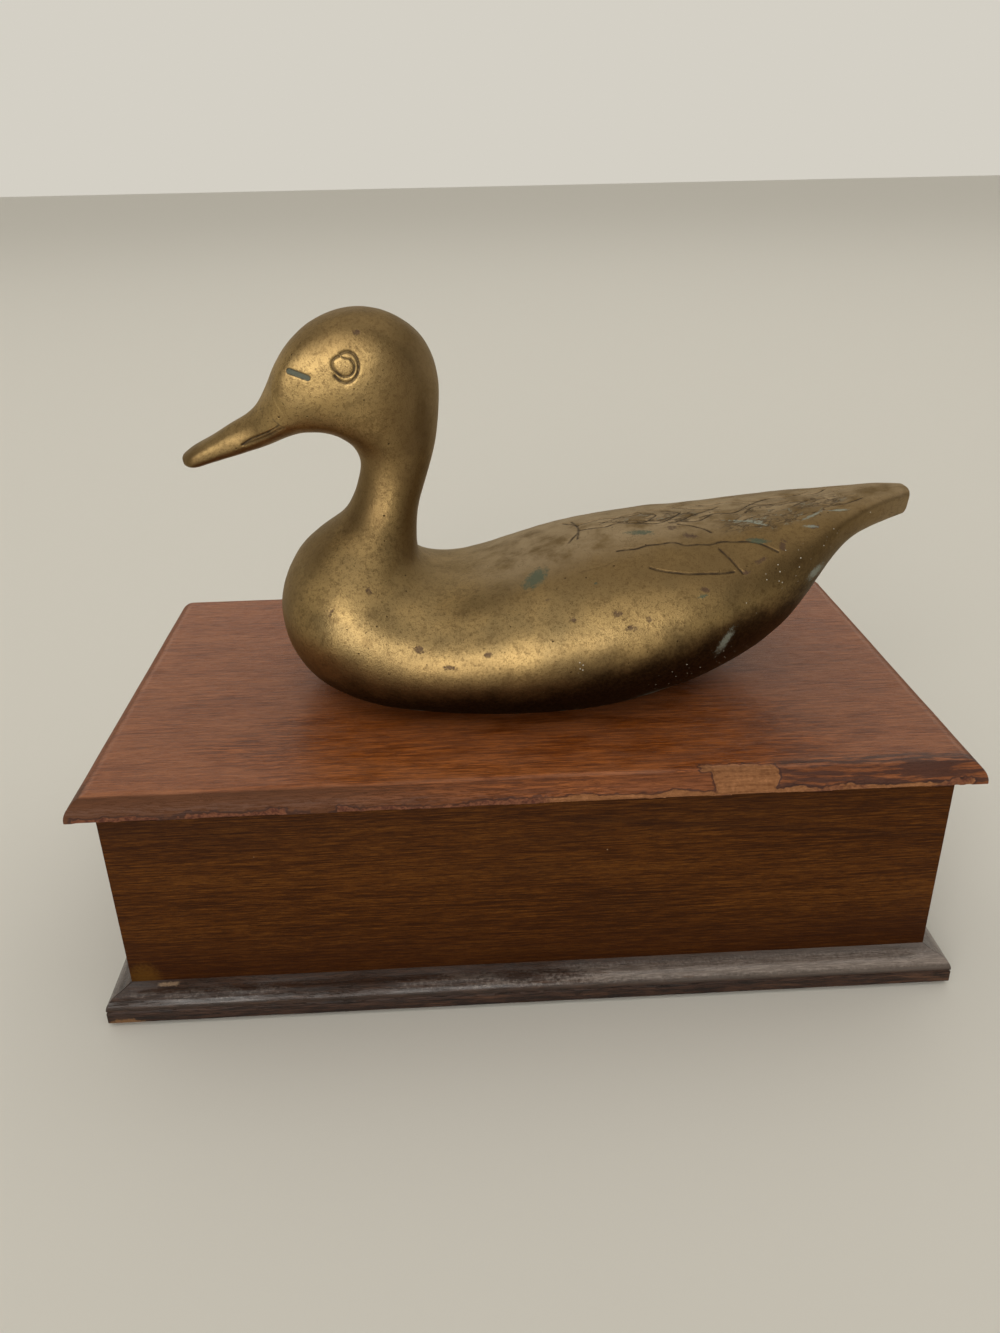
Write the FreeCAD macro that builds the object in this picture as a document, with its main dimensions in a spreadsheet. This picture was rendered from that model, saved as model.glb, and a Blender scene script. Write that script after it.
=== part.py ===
# A cast brass duck screwed to the hinged lid of a wooden keepsake box, in millimetres.
# The origin is on the table under the middle of the box. +X runs towards the duck's tail,
# +Y towards the hinges and +Z up.

import FreeCAD, Part
import Sketcher
import math
import os
import re

Vector = FreeCAD.Vector
Rotation = FreeCAD.Rotation

across = Vector(1, 0, 0)
back = Vector(0, 1, 0)
upward = Vector(0, 0, 1)

quarter_turn = 90
half_turn = 180

# Driving sizes: name, value in millimetres or degrees, what it is.
driving_sizes = [
    ("wall_length", 239.0, "outside length of the box walls"),
    ("wall_depth", 134.7, "outside depth of the box walls, front to back"),
    ("wall_height", 70.0, "height of the walls"),
    ("wall_thickness", 8.0, "thickness of the walls"),
    ("groove_height", 5.0, "bottom groove above the walls' lower edge"),
    ("groove_depth", 4.0, "depth of the bottom groove"),
    ("bottom_thickness", 4.0, "thickness of the bottom board"),
    ("bottom_clearance", 0.1, "play of the bottom board in its groove"),
    ("base_reach", 6.7, "how far the base moulding stands out from the walls"),
    ("base_height", 9.9, "height of the base moulding at the walls"),
    ("fascia_height", 4.6, "flat lower part of the base moulding"),
    ("quirk_width", 0.7, "width of the groove under the bead"),
    ("quirk_depth", 0.5, "depth of the groove under the bead"),
    ("bead_radius", 3.4, "radius of the bead"),
    ("foot_radius", 5.0, "radius of a felt pad"),
    ("foot_height", 1.0, "thickness of a felt pad"),
    ("foot_inset", 10.0, "pad centre inside the edges of the base"),
    ("lining_thickness", 1.0, "thickness of the felt lining"),
    ("lining_clearance", 0.2, "gap between a lining and the next piece"),
    ("lining_drop", 4.0, "wall lining ends this far below the wall's top"),
    ("seam_gap", 0.2, "gap between the walls and the closed lid"),
    ("lid_reach", 6.0, "lid overhang at the front and the ends"),
    ("lid_thickness", 6.1, "thickness of the lid"),
    ("lip_height", 0.6, "square lip under the lid's rounded edge"),
    ("lid_lining_margin", 1.5, "lid lining inside the walls"),
    ("hinge_spacing", 140.0, "between the middles of the two hinges"),
    ("hinge_length", 30.0, "length of a hinge"),
    ("leaf_reach", 8.0, "pin axis to the leaf's inner edge"),
    ("leaf_thickness", 1.2, "thickness of a leaf"),
    ("mortise_clearance", 0.1, "play of a leaf in its mortise"),
    ("pin_radius", 1.0, "radius of the hinge pin"),
    ("pin_clearance", 0.03, "radial play of the pin in a knuckle"),
    ("barrel_radius", 2.0, "outer radius of the knuckles"),
    ("knuckle_gap", 0.15, "play around and between knuckles"),
    ("stop_reach", 4.6, "pin axis to the edge of a stop flange"),
    ("open_angle", 95.0, "how far the lid opens"),
    ("stop_play", 0.2, "angle left between the stop flanges at full opening"),
    ("wood_screw_radius", 0.9, "shank of a hinge screw"),
    ("wood_screw_head_radius", 1.8, "countersunk head of a hinge screw"),
    ("wood_screw_head_height", 0.9, "depth of the countersunk head"),
    ("wood_screw_spacing", 18.0, "between the two screws of a leaf"),
    ("box_screw_length", 9.0, "hinge screw in the back wall"),
    ("lid_screw_length", 5.0, "hinge screw in the lid"),
    ("slot_width", 0.5, "width of a screw slot"),
    ("slot_depth", 0.4, "depth of a screw slot"),
    ("hole_clearance", 0.05, "radial play of a screw in its hole"),
    ("duck_length", 223.0, "bill tip to tail tip"),
    ("duck_height", 115.0, "crown above the lid"),
    ("duck_width", 87.0, "width of the body"),
    ("bill_forward", 98.7, "bill tip in front of the box's middle"),
    ("cast_wall", 4.0, "wall of the hollow body"),
    ("boss_radius", 6.0, "screw boss inside the body"),
    ("boss_spacing", 60.0, "between the two bosses"),
    ("boss_middle", 4.0, "middle of the bosses behind the box's middle"),
    ("tapped_depth", 14.0, "depth of the tapped hole in a boss"),
    ("mount_screw_radius", 2.5, "shank of a mounting screw"),
    ("mount_screw_length", 16.0, "length of the shank"),
    ("mount_head_radius", 4.6, "cheese head of a mounting screw"),
    ("mount_head_height", 3.0, "height of the cheese head"),
    ("mount_slot_width", 1.2, "width of the head's slot"),
    ("mount_slot_depth", 1.3, "depth of the head's slot"),
    ("washer_radius", 6.5, "outer radius of a washer"),
    ("washer_thickness", 1.0, "thickness of a washer"),
    ("overrun", 1.0, "how far a cutting shape runs past what it cuts"),
]

doc = FreeCAD.newDocument("duck_box")
sheet = doc.addObject("Spreadsheet::Sheet", "Sizes")
for row, (alias, amount, note) in enumerate(driving_sizes, start=1):
    sheet.set(f"A{row}", alias)
    sheet.set(f"B{row}", str(amount))
    sheet.set(f"C{row}", note)
    sheet.setAlias(f"B{row}", alias)
doc.recompute()

aliases = {alias for alias, amount, note in driving_sizes}
subparts = []


def on_sheet(formula):
    """The formula with each size's name pointed at its cell."""
    return re.sub(r"[a-z_]+", lambda word: ("Sizes." if word.group() in aliases else "") + word.group(), formula)


def value(formula):
    """The formula's present value."""
    result = sheet.evalExpression(on_sheet(formula))
    return float(getattr(result, "Value", result))


def bind(target, **formulas):
    for name, formula in formulas.items():
        target.setExpression(name, on_sheet(formula))


def place(piece, x="0", y="0", z="0", turn=None):
    """Binds the piece's position, with a fixed rotation."""
    if turn is not None:
        piece.Placement = FreeCAD.Placement(Vector(), turn)
    for letter, formula in zip("xyz", (x, y, z)):
        piece.setExpression(f"Placement.Base.{letter}", on_sheet(formula))
    return piece


def keep(piece, label):
    """Registers the piece as a node of the model."""
    piece.Label = label
    subparts.append(piece)
    return piece


def block(name, length, width, height, x="0", y="0", z="0", turn=None):
    piece = doc.addObject("Part::Box", name)
    bind(piece, Length=length, Width=width, Height=height)
    return place(piece, x, y, z, turn)


def rod(name, radius, height, x="0", y="0", z="0", turn=None):
    piece = doc.addObject("Part::Cylinder", name)
    bind(piece, Radius=radius, Height=height)
    return place(piece, x, y, z, turn)


def fuse(name, pieces):
    piece = doc.addObject("Part::MultiFuse", name)
    piece.Shapes = pieces
    return piece


def cut(name, base, tool):
    piece = doc.addObject("Part::Cut", name)
    piece.Base = base
    piece.Tool = tool
    return piece


def group(name, pieces):
    piece = doc.addObject("Part::Compound", name)
    piece.Links = pieces
    return piece


def sketch_on(body, name, role, lift="0"):
    """An empty sketch on one of the body's own origin planes."""
    sketch = body.newObject("Sketcher::SketchObject", name)
    plane = [feature for feature in body.Origin.OriginFeatures if feature.Role == role][0]
    sketch.AttachmentSupport = (plane, [""])
    sketch.MapMode = "FlatFace"
    sketch.setExpression("AttachmentOffset.Base.z", on_sheet(lift))
    return sketch


def pin_point(sketch, edge, spot, x, y):
    """Ties a vertex of the sketch to two formulas."""
    for kind, formula in (("DistanceX", x), ("DistanceY", y)):
        index = sketch.addConstraint(Sketcher.Constraint(kind, -1, 1, edge, spot, value(formula)))
        sketch.setExpression(f"Constraints[{index}]", on_sheet(formula))


def outline(body, name, role, corners, lift="0", rounds=None):
    """A closed sketch through the corners. rounds gives the centre of each stretch that is
    a quarter circle, by the number of the corner where it starts, and its sense of turn."""
    sketch = sketch_on(body, name, role, lift)
    rounds = rounds or {}
    places = [Vector(value(x), value(y), 0) for x, y in corners]
    ends = []
    for index, start in enumerate(places):
        end = places[(index + 1) % len(places)]
        if index in rounds:
            x, y, anticlockwise = rounds[index]
            centre = Vector(value(x), value(y), 0)
            first, last = (start, end) if anticlockwise else (end, start)
            angles = [math.atan2(spot.y - centre.y, spot.x - centre.x) for spot in (first, last)]
            circle = Part.Circle(centre, upward, (start - centre).Length)
            sketch.addGeometry(Part.ArcOfCircle(circle, angles[0], angles[1]))
            ends.append((1, 2) if anticlockwise else (2, 1))
        else:
            sketch.addGeometry(Part.LineSegment(start, end))
            ends.append((1, 2))
    for index in range(len(places)):
        following = (index + 1) % len(places)
        sketch.addConstraint(
            Sketcher.Constraint("Coincident", index, ends[index][1], following, ends[following][0]))
    for index, (x, y) in enumerate(corners):
        pin_point(sketch, index, ends[index][0], x, y)
    for index, (x, y, anticlockwise) in rounds.items():
        tie = sketch.addConstraint(Sketcher.Constraint("DistanceX", -1, 1, index, 3, value(x)))
        sketch.setExpression(f"Constraints[{tie}]", on_sheet(x))
    return sketch


def circles(body, name, role, radius, centres, lift="0"):
    """A sketch of equal circles."""
    sketch = sketch_on(body, name, role, lift)
    for index, (x, y) in enumerate(centres):
        centre = Vector(value(x), value(y), 0)
        sketch.addGeometry(Part.Circle(centre, upward, value(radius)))
        pin_point(sketch, index, 3, x, y)
        tie = sketch.addConstraint(Sketcher.Constraint("Radius", index, value(radius)))
        sketch.setExpression(f"Constraints[{tie}]", on_sheet(radius))
    return sketch


def pad(body, sketch, length, both_ways=False, backwards=False):
    feature = body.newObject("PartDesign::Pad", sketch.Name + "_pad")
    feature.Profile = sketch
    feature.SideType = "Symmetric" if both_ways else "One side"
    feature.Reversed = backwards
    bind(feature, Length=length)
    sketch.Visibility = False
    doc.recompute()
    return feature


def pocket(body, sketch, depth=None, both_ways=False, backwards=False):
    """A cut from the sketch, right through when no depth is given. It must take something away."""
    before = body.Shape.Volume
    feature = body.newObject("PartDesign::Pocket", sketch.Name + "_cut")
    feature.Profile = sketch
    feature.SideType = "Symmetric" if both_ways else "One side"
    feature.Reversed = backwards
    if depth is None:
        feature.Type = "ThroughAll"
    else:
        bind(feature, Length=depth)
    sketch.Visibility = False
    doc.recompute()
    if not body.Shape.Volume < before:
        raise RuntimeError(f"{feature.Name} cuts nothing")
    return feature


# Levels that several pieces share
wall_top = "(foot_height + wall_height)"
lid_under = f"({wall_top} + seam_gap)"
lid_top = f"({lid_under} + lid_thickness)"
pin_level = f"({wall_top} + seam_gap / 2)"
pin_behind = "(wall_depth / 2 + barrel_radius + knuckle_gap)"
leaf_in_wood = "(leaf_reach - barrel_radius - knuckle_gap)"
hinge_middles = ["-hinge_spacing / 2", "hinge_spacing / 2"]
screw_row = "(barrel_radius + knuckle_gap + leaf_reach) / 2"
screw_offsets = ["-wood_screw_spacing / 2", "wood_screw_spacing / 2"]
screw_places = [f"{middle} + {offset}" for middle in hinge_middles for offset in screw_offsets]
boss_places = ["boss_middle - boss_spacing / 2", "boss_middle + boss_spacing / 2"]


# Box walls, mitred at the corners and grooved for the bottom
# A wall's own frame has its outer face in the plane y = 0 and its lower edge at z = 0.

def wall(label, length, x, y, angle):
    body = doc.addObject("PartDesign::Body", label + "_body")
    half = f"({length}) / 2"
    plan = outline(body, label + "_plan", "XY_Plane", [
        (f"-{half}", "0"),
        (half, "0"),
        (f"{half} - wall_thickness", "wall_thickness"),
        (f"-{half} + wall_thickness", "wall_thickness"),
    ])
    pad(body, plan, "wall_height")
    floor_groove = outline(body, label + "_groove", "YZ_Plane", [
        ("wall_thickness - groove_depth", "groove_height"),
        ("wall_thickness + overrun", "groove_height"),
        ("wall_thickness + overrun", "groove_height + bottom_thickness + bottom_clearance"),
        ("wall_thickness - groove_depth", "groove_height + bottom_thickness + bottom_clearance"),
    ])
    pocket(body, floor_groove, both_ways=True)
    place(body, x, y, "foot_height", Rotation(upward, angle))
    return keep(body, label)


def mortises(body, name, inward, lift="0", backwards=False):
    """Two seats for hinge leaves in a face whose outer edge is y = 0. Inward is 1 or -1."""
    for number, middle in enumerate(hinge_middles):
        reach = f"{inward} * ({leaf_in_wood} + mortise_clearance)"
        half = "(hinge_length / 2 + mortise_clearance)"
        seat = outline(body, f"{name}_mortise_{number}", "XY_Plane", [
            (f"{middle} - {half}", f"-{inward} * overrun"),
            (f"{middle} + {half}", f"-{inward} * overrun"),
            (f"{middle} + {half}", reach),
            (f"{middle} - {half}", reach),
        ], lift)
        pocket(body, seat, "leaf_thickness + mortise_clearance", backwards=backwards)


wall("front_wall", "wall_length", "0", "-wall_depth / 2", 0)
wall("right_wall", "wall_depth", "wall_length / 2", "0", quarter_turn)
back_wall = wall("back_wall", "wall_length", "0", "wall_depth / 2", half_turn)
wall("left_wall", "wall_depth", "-wall_length / 2", "0", -quarter_turn)

mortises(back_wall, "wall", "1", lift="wall_height")
wall_pilots = circles(
    back_wall, "wall_pilots", "XY_Plane", "wood_screw_radius + hole_clearance",
    [(x, f"{screw_row} - barrel_radius - knuckle_gap") for x in screw_places], "wall_height")
pocket(back_wall, wall_pilots, "box_screw_length + overrun")


# Bottom board, loose in the groove of the four walls

inner_length = "(wall_length - 2 * wall_thickness)"
inner_depth = "(wall_depth - 2 * wall_thickness)"
tongue = "(groove_depth - bottom_clearance)"
bottom_level = "(foot_height + groove_height + bottom_clearance / 2)"

keep(block("bottom_board", f"{inner_length} + 2 * {tongue}", f"{inner_depth} + 2 * {tongue}",
           "bottom_thickness", f"-{inner_length} / 2 - {tongue}", f"-{inner_depth} / 2 - {tongue}",
           bottom_level), "bottom_board")


# Base moulding, four mitred lengths glued around the foot of the walls
# In its own frame a length lies against the plane y = 0 and stands out towards -Y.

def base_moulding(label, length, x, y, angle):
    body = doc.addObject("PartDesign::Body", label + "_body")
    bead_foot = "(fascia_height + quirk_width)"
    profile = outline(body, label + "_profile", "YZ_Plane", [
        ("0", "0"),
        ("0", "base_height"),
        ("bead_radius - base_reach", f"{bead_foot} + bead_radius"),
        ("-base_reach", bead_foot),
        ("quirk_depth - base_reach", "fascia_height + quirk_width / 2"),
        ("-base_reach", "fascia_height"),
        ("-base_reach", "0"),
    ], rounds={2: ("bead_radius - base_reach", bead_foot, True)})
    pad(body, profile, f"{length} + 2 * base_reach", both_ways=True)
    half = f"({length}) / 2"
    for side, sign in (("left", "-1"), ("right", "1")):
        corner = outline(body, f"{label}_{side}_mitre", "XY_Plane", [
            (f"{sign} * {half}", "0"),
            (f"{sign} * ({half} + base_reach + overrun)", "-base_reach - overrun"),
            (f"{sign} * ({half} + base_reach + overrun)", "0"),
        ])
        pocket(body, corner, backwards=True)
    place(body, x, y, "foot_height", Rotation(upward, angle))
    keep(body, label)


base_moulding("base_moulding_front", "wall_length", "0", "-wall_depth / 2", 0)
base_moulding("base_moulding_right", "wall_depth", "wall_length / 2", "0", quarter_turn)
base_moulding("base_moulding_back", "wall_length", "0", "wall_depth / 2", half_turn)
base_moulding("base_moulding_left", "wall_depth", "-wall_length / 2", "0", -quarter_turn)


# Felt pads under the corners

foot_x = "(wall_length / 2 + base_reach - foot_inset)"
foot_y = "(wall_depth / 2 + base_reach - foot_inset)"
pads = []
for end in ("-1", "1"):
    for side in ("-1", "1"):
        pads.append(rod(f"felt_pad_{len(pads)}", "foot_radius", "foot_height",
                        f"{end} * {foot_x}", f"{side} * {foot_y}"))
keep(group("felt_pads", pads), "felt_feet")


# Felt lining: floor and four walls of the compartment

lining_floor_level = f"({bottom_level} + bottom_thickness)"
lining_foot = f"({lining_floor_level} + lining_thickness)"
lining_length = f"({inner_length} - 2 * lining_clearance)"
lining_depth = f"({inner_depth} - 2 * lining_clearance)"
lining_height = f"({wall_top} - lining_drop - {lining_foot})"
side_lining_depth = f"({lining_depth} - 2 * lining_thickness - 2 * lining_clearance)"

keep(block("floor_lining", lining_length, lining_depth, "lining_thickness",
           f"-{lining_length} / 2", f"-{lining_depth} / 2", lining_floor_level), "lining_floor")
keep(block("front_lining", lining_length, "lining_thickness", lining_height,
           f"-{lining_length} / 2", f"-{lining_depth} / 2", lining_foot), "lining_front")
keep(block("back_lining", lining_length, "lining_thickness", lining_height,
           f"-{lining_length} / 2", f"{lining_depth} / 2 - lining_thickness", lining_foot), "lining_back")
keep(block("left_lining", "lining_thickness", side_lining_depth, lining_height,
           f"-{lining_length} / 2", f"-{side_lining_depth} / 2", lining_foot), "lining_left")
keep(block("right_lining", "lining_thickness", side_lining_depth, lining_height,
           f"{lining_length} / 2 - lining_thickness", f"-{side_lining_depth} / 2", lining_foot), "lining_right")


# Lid board, rounded over at the front and the ends and square at the back
# Its own frame has the back edge in the plane y = 0 and the underside at z = 0.

lid_depth = "(wall_depth + lid_reach)"
half_lid = "(wall_length / 2 + lid_reach)"
round_over = "(lid_thickness - lip_height)"

lid = doc.addObject("PartDesign::Body", "lid_body")
lid_ends = outline(lid, "lid_end_profile", "XZ_Plane", [
    (f"-{half_lid}", "0"),
    (half_lid, "0"),
    (half_lid, "lip_height"),
    (f"{half_lid} - {round_over}", "lid_thickness"),
    (f"-{half_lid} + {round_over}", "lid_thickness"),
    (f"-{half_lid}", "lip_height"),
], rounds={2: (f"{half_lid} - {round_over}", "lip_height", True),
           4: (f"-{half_lid} + {round_over}", "lip_height", True)})
pad(lid, lid_ends, lid_depth)
lid_front = outline(lid, "lid_front_waste", "YZ_Plane", [
    (f"-{lid_depth}", "lip_height"),
    (f"-{lid_depth} + {round_over}", "lid_thickness"),
    (f"-{lid_depth} + {round_over}", "lid_thickness + overrun"),
    (f"-{lid_depth} - overrun", "lid_thickness + overrun"),
    (f"-{lid_depth} - overrun", "lip_height"),
], rounds={0: (f"-{lid_depth} + {round_over}", "lip_height", False)})
pocket(lid, lid_front, both_ways=True)

mortises(lid, "lid", "(-1)", backwards=True)
lid_pilots = circles(lid, "lid_pilots", "XY_Plane", "wood_screw_radius + hole_clearance",
                     [(x, f"barrel_radius + knuckle_gap - {screw_row}") for x in screw_places])
pocket(lid, lid_pilots, "lid_screw_length + mortise_clearance", backwards=True)
duck_holes = circles(lid, "duck_screw_holes", "XY_Plane", "mount_screw_radius + hole_clearance",
                     [(x, "-wall_depth / 2") for x in boss_places])
pocket(lid, duck_holes, backwards=True)
place(lid, "0", "wall_depth / 2", lid_under)
keep(lid, "lid_board")


# Felt under the lid, pierced for the mounting screws

lid_felt_length = f"({inner_length} - 2 * lid_lining_margin)"
lid_felt_depth = f"({inner_depth} - 2 * lid_lining_margin)"
lid_felt_level = f"({lid_under} - lining_thickness)"
felt_sheet = block("lid_felt_sheet", lid_felt_length, lid_felt_depth, "lining_thickness",
                   f"-{lid_felt_length} / 2", f"-{lid_felt_depth} / 2", lid_felt_level)
felt_holes = [rod(f"lid_felt_hole_{number}", "washer_radius + lining_clearance",
                  "lining_thickness + 2 * overrun", x, "0", f"{lid_felt_level} - overrun")
              for number, x in enumerate(boss_places)]
keep(cut("lid_felt", felt_sheet, fuse("lid_felt_holes", felt_holes)), "lid_lining")


# Stop hinges: two leaves with interleaved knuckles on a pin
# Each leaf carries a flange beside the barrel. The two flanges meet at full opening.
# A hinge's own frame has its pin along X through the origin.

lying = Rotation(back, quarter_turn)
lying_over = Rotation(back, -quarter_turn)
knuckle_count = 5
knuckle_pitch = f"(hinge_length / {knuckle_count})"


def countersunk(name, radius_play, length, x, y, z, downward):
    """A countersunk shape with its head's face at the given place."""
    turn = Rotation(across, half_turn if downward else 0)
    head = doc.addObject("Part::Cone", name + "_head")
    bind(head, Radius1=f"wood_screw_head_radius + {radius_play}", Radius2=f"wood_screw_radius + {radius_play}",
         Height="wood_screw_head_height")
    place(head, x, y, z, turn)
    shank = rod(name + "_shank", f"wood_screw_radius + {radius_play}", length, x, y, z, turn)
    return fuse(name, [head, shank])


def hinge_leaf(label, middle, on_lid):
    """One leaf: plate, barrel and stop flange, cut clear of the other leaf's knuckles."""
    sign = "1" if on_lid else "-1"
    barrel_start = f"{middle} - hinge_length / 2"
    plate_level = "seam_gap / 2" if on_lid else "-seam_gap / 2 - leaf_thickness"
    plate = block(label + "_plate", "hinge_length", "leaf_reach", "leaf_thickness",
                  barrel_start, f"{pin_behind} - leaf_reach", f"{pin_level} + {plate_level}")
    barrel = rod(label + "_barrel", "barrel_radius", "hinge_length", barrel_start, pin_behind, pin_level, lying)
    flange_start = f"{middle} + hinge_length / 2" if on_lid else barrel_start
    flange = rod(label + "_flange", "stop_reach", "hinge_length", flange_start, pin_behind, pin_level,
                 lying_over if on_lid else lying)
    bind(flange, Angle=f"({half_turn} - open_angle - stop_play) / 2")

    waste = [rod(label + "_bore", "pin_radius + pin_clearance", "hinge_length + 2 * overrun",
                 f"{barrel_start} - overrun", pin_behind, pin_level, lying)]
    for knuckle in range(knuckle_count):
        if (knuckle % 2 == 1) != on_lid:
            first = f"{barrel_start} + {knuckle} * {knuckle_pitch}"
            waste.append(rod(f"{label}_gap_{knuckle}", "barrel_radius + knuckle_gap",
                             f"{knuckle_pitch} + knuckle_gap", f"{first} - knuckle_gap / 2",
                             pin_behind, pin_level, lying))
    for number, offset in enumerate(screw_offsets):
        waste.append(countersunk(
            f"{label}_hole_{number}", "hole_clearance", "leaf_thickness + overrun", f"{middle} + {offset}",
            f"{pin_behind} - {screw_row}", f"{pin_level} + {sign} * seam_gap / 2", not on_lid))
    leaf = cut(label + "_cut", fuse(label + "_blank", [plate, barrel, flange]), fuse(label + "_waste", waste))
    keep(leaf, label)


for side, middle in zip(("left", "right"), hinge_middles):
    hinge_leaf(f"hinge_{side}_box_leaf", middle, False)
    hinge_leaf(f"hinge_{side}_lid_leaf", middle, True)
    keep(rod(f"hinge_{side}_axle", "pin_radius", "hinge_length", f"{middle} - hinge_length / 2",
             pin_behind, pin_level, lying), f"hinge_{side}_pin")


def wood_screws(label, length, on_lid):
    """The four countersunk screws that hold the leaves to one board."""
    sign = "1" if on_lid else "-1"
    face = f"{pin_level} + {sign} * seam_gap / 2"
    slot_floor = face if on_lid else f"{face} - slot_depth"
    screws = []
    for number, x in enumerate(screw_places):
        screw = countersunk(f"{label}_{number}", "0", length, x, f"{pin_behind} - {screw_row}", face, not on_lid)
        slot = block(f"{label}_slot_{number}", "2 * wood_screw_head_radius", "slot_width", "slot_depth",
                     f"{x} - wood_screw_head_radius", f"{pin_behind} - {screw_row} - slot_width / 2", slot_floor)
        screws.append(cut(f"{label}_slotted_{number}", screw, slot))
    keep(group(label + "_set", screws), label)


wood_screws("hinge_box_screws", "box_screw_length", False)
wood_screws("hinge_lid_screws", "lid_screw_length", True)


# Duck: one hollow brass casting, open underneath
# Each row is a cut across the duck, from the bill to the tail. It gives the cut's upper and lower
# ends on the middle plane (along the duck from the bill's tip, and above the lid), its half width,
# and where between the lower and the upper end it is widest.
# Along is a share of duck_length, height of duck_height and half width of duck_width.

bill_shares = [
    (0.000, 0.645, 0.004, 0.620, 0.038, 0.50),
    (0.012, 0.662, 0.013, 0.615, 0.073, 0.45),
    (0.037, 0.687, 0.036, 0.622, 0.085, 0.40),
    (0.070, 0.722, 0.070, 0.639, 0.083, 0.40),
    (0.100, 0.757, 0.104, 0.657, 0.092, 0.42),
]
head_shares = [
    (0.122, 0.817, 0.131, 0.675, 0.126, 0.45),
    (0.144, 0.892, 0.158, 0.692, 0.172, 0.50),
    (0.182, 0.961, 0.183, 0.697, 0.201, 0.50),
    (0.237, 0.997, 0.206, 0.689, 0.214, 0.50),
    (0.290, 0.979, 0.223, 0.669, 0.209, 0.50),
    (0.332, 0.911, 0.232, 0.647, 0.190, 0.50),
    (0.347, 0.802, 0.236, 0.619, 0.156, 0.50),
]
neck_shares = [
    (0.342, 0.687, 0.234, 0.587, 0.133, 0.50),
    (0.326, 0.575, 0.225, 0.535, 0.129, 0.50),
    (0.312, 0.484, 0.206, 0.478, 0.150, 0.50),
    (0.308, 0.412, 0.168, 0.425, 0.213, 0.50),
]
body_shares = [
    (0.309, 0.361, 0.132, 0.353, 0.297, 0.50),
    (0.327, 0.329, 0.111, 0.231, 0.374, 0.50),
    (0.375, 0.324, 0.146, 0.048, 0.426, 0.50),
    (0.446, 0.363, 0.271, -0.052, 0.475, 0.48),
    (0.555, 0.422, 0.489, -0.077, 0.500, 0.48),
    (0.667, 0.445, 0.638, -0.030, 0.470, 0.52),
    (0.765, 0.462, 0.754, 0.054, 0.377, 0.58),
]
tail_shares = [
    (0.847, 0.478, 0.832, 0.184, 0.271, 0.65),
    (0.908, 0.488, 0.893, 0.348, 0.165, 0.70),
    (0.959, 0.501, 0.949, 0.403, 0.100, 0.70),
    (0.995, 0.502, 0.993, 0.429, 0.056, 0.60),
]

duck_length = value("duck_length")
duck_height = value("duck_height")
duck_width = value("duck_width")
bill_tip = -value("bill_forward")
lid_face = value(lid_top)
cast_wall = value("cast_wall")

rows = bill_shares + head_shares + neck_shares + body_shares + tail_shares
tops = [Vector(bill_tip + row[0] * duck_length, 0, lid_face + row[1] * duck_height) for row in rows]
lows = [Vector(bill_tip + row[2] * duck_length, 0, lid_face + row[3] * duck_height) for row in rows]
girths = [Vector(row[4] * duck_width, row[5] * duck_width, 0) for row in rows]

travelled = [0.0]
for index in range(1, len(rows)):
    along_top = (tops[index] - tops[index - 1]).Length
    along_low = (lows[index] - lows[index - 1]).Length
    along_middle = (tops[index] + lows[index] - tops[index - 1] - lows[index - 1]).Length / 2
    travelled.append(travelled[-1] + along_middle + along_top / 2 + along_low / 2)
stations = [distance / travelled[-1] for distance in travelled]


def rail(points):
    """A smooth curve that passes each row's point at the row's station."""
    curve = Part.BSplineCurve()
    curve.interpolate(Points=points, Parameters=stations)
    return curve


top_rail = rail(tops)
low_rail = rail(lows)
girth_rail = rail(girths)


def cut_across(station, chords, inset=0.0):
    """The duck's outline at a station: two half ellipses in straight chords, drawn in by the inset."""
    top = top_rail.value(station)
    low = low_rail.value(station)
    girth = girth_rail.value(station)
    middle = low + (top - low) * (girth.y / duck_width)
    inward = (low - top).normalize() * inset
    side = Vector(0, girth.x - inset, 0)
    corners = []
    for step in range(chords):
        angle = math.tau * step / chords
        end = top + inward if step < chords / 2 else low - inward
        corners.append(middle + side * math.cos(angle) + (end - middle) * abs(math.sin(angle)))
    return Part.makePolygon(corners + corners[:1])


def duck_loft(first, last, cuts, chords, inset=0.0, straight=False):
    """A solid through evenly spaced cuts from one station to another."""
    reach = last - first
    wires = [cut_across(first + reach * step / (cuts - 1), chords, inset) for step in range(cuts)]
    return Part.makeLoft(wires, True, straight)


outer_chords = 32
outer_cuts = 37
core_chords = 16
core_cuts = 9
core_start = len(rows) - len(tail_shares) - len(body_shares)
core_end = len(rows) - len(tail_shares)

outer = duck_loft(0.0, 1.0, outer_cuts, outer_chords)
core = duck_loft(stations[core_start], stations[core_end], core_cuts, core_chords, cast_wall, straight=True)

box_of_duck = outer.BoundBox
above_lid = Part.makeBox(box_of_duck.XLength, box_of_duck.YLength, box_of_duck.ZMax - lid_face,
                         Vector(box_of_duck.XMin, box_of_duck.YMin, lid_face))
outer = outer.common(above_lid)
bosses = []
tapped_holes = []
for x in boss_places:
    foot = Vector(value(x), 0, lid_face)
    bosses.append(Part.makeCylinder(value("boss_radius"), duck_height, foot))
    tapped_holes.append(Part.makeCylinder(value("mount_screw_radius + hole_clearance"), value("tapped_depth"), foot))
hollow = core.cut(Part.makeCompound(bosses))
duck = doc.addObject("Part::Feature", "duck")
duck.Shape = outer.cut(hollow).cut(Part.makeCompound(tapped_holes))
duck.Placement = FreeCAD.Placement()
keep(duck, "duck_casting")


# Mounting screws and washers, driven up through the lid into the bosses

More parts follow.
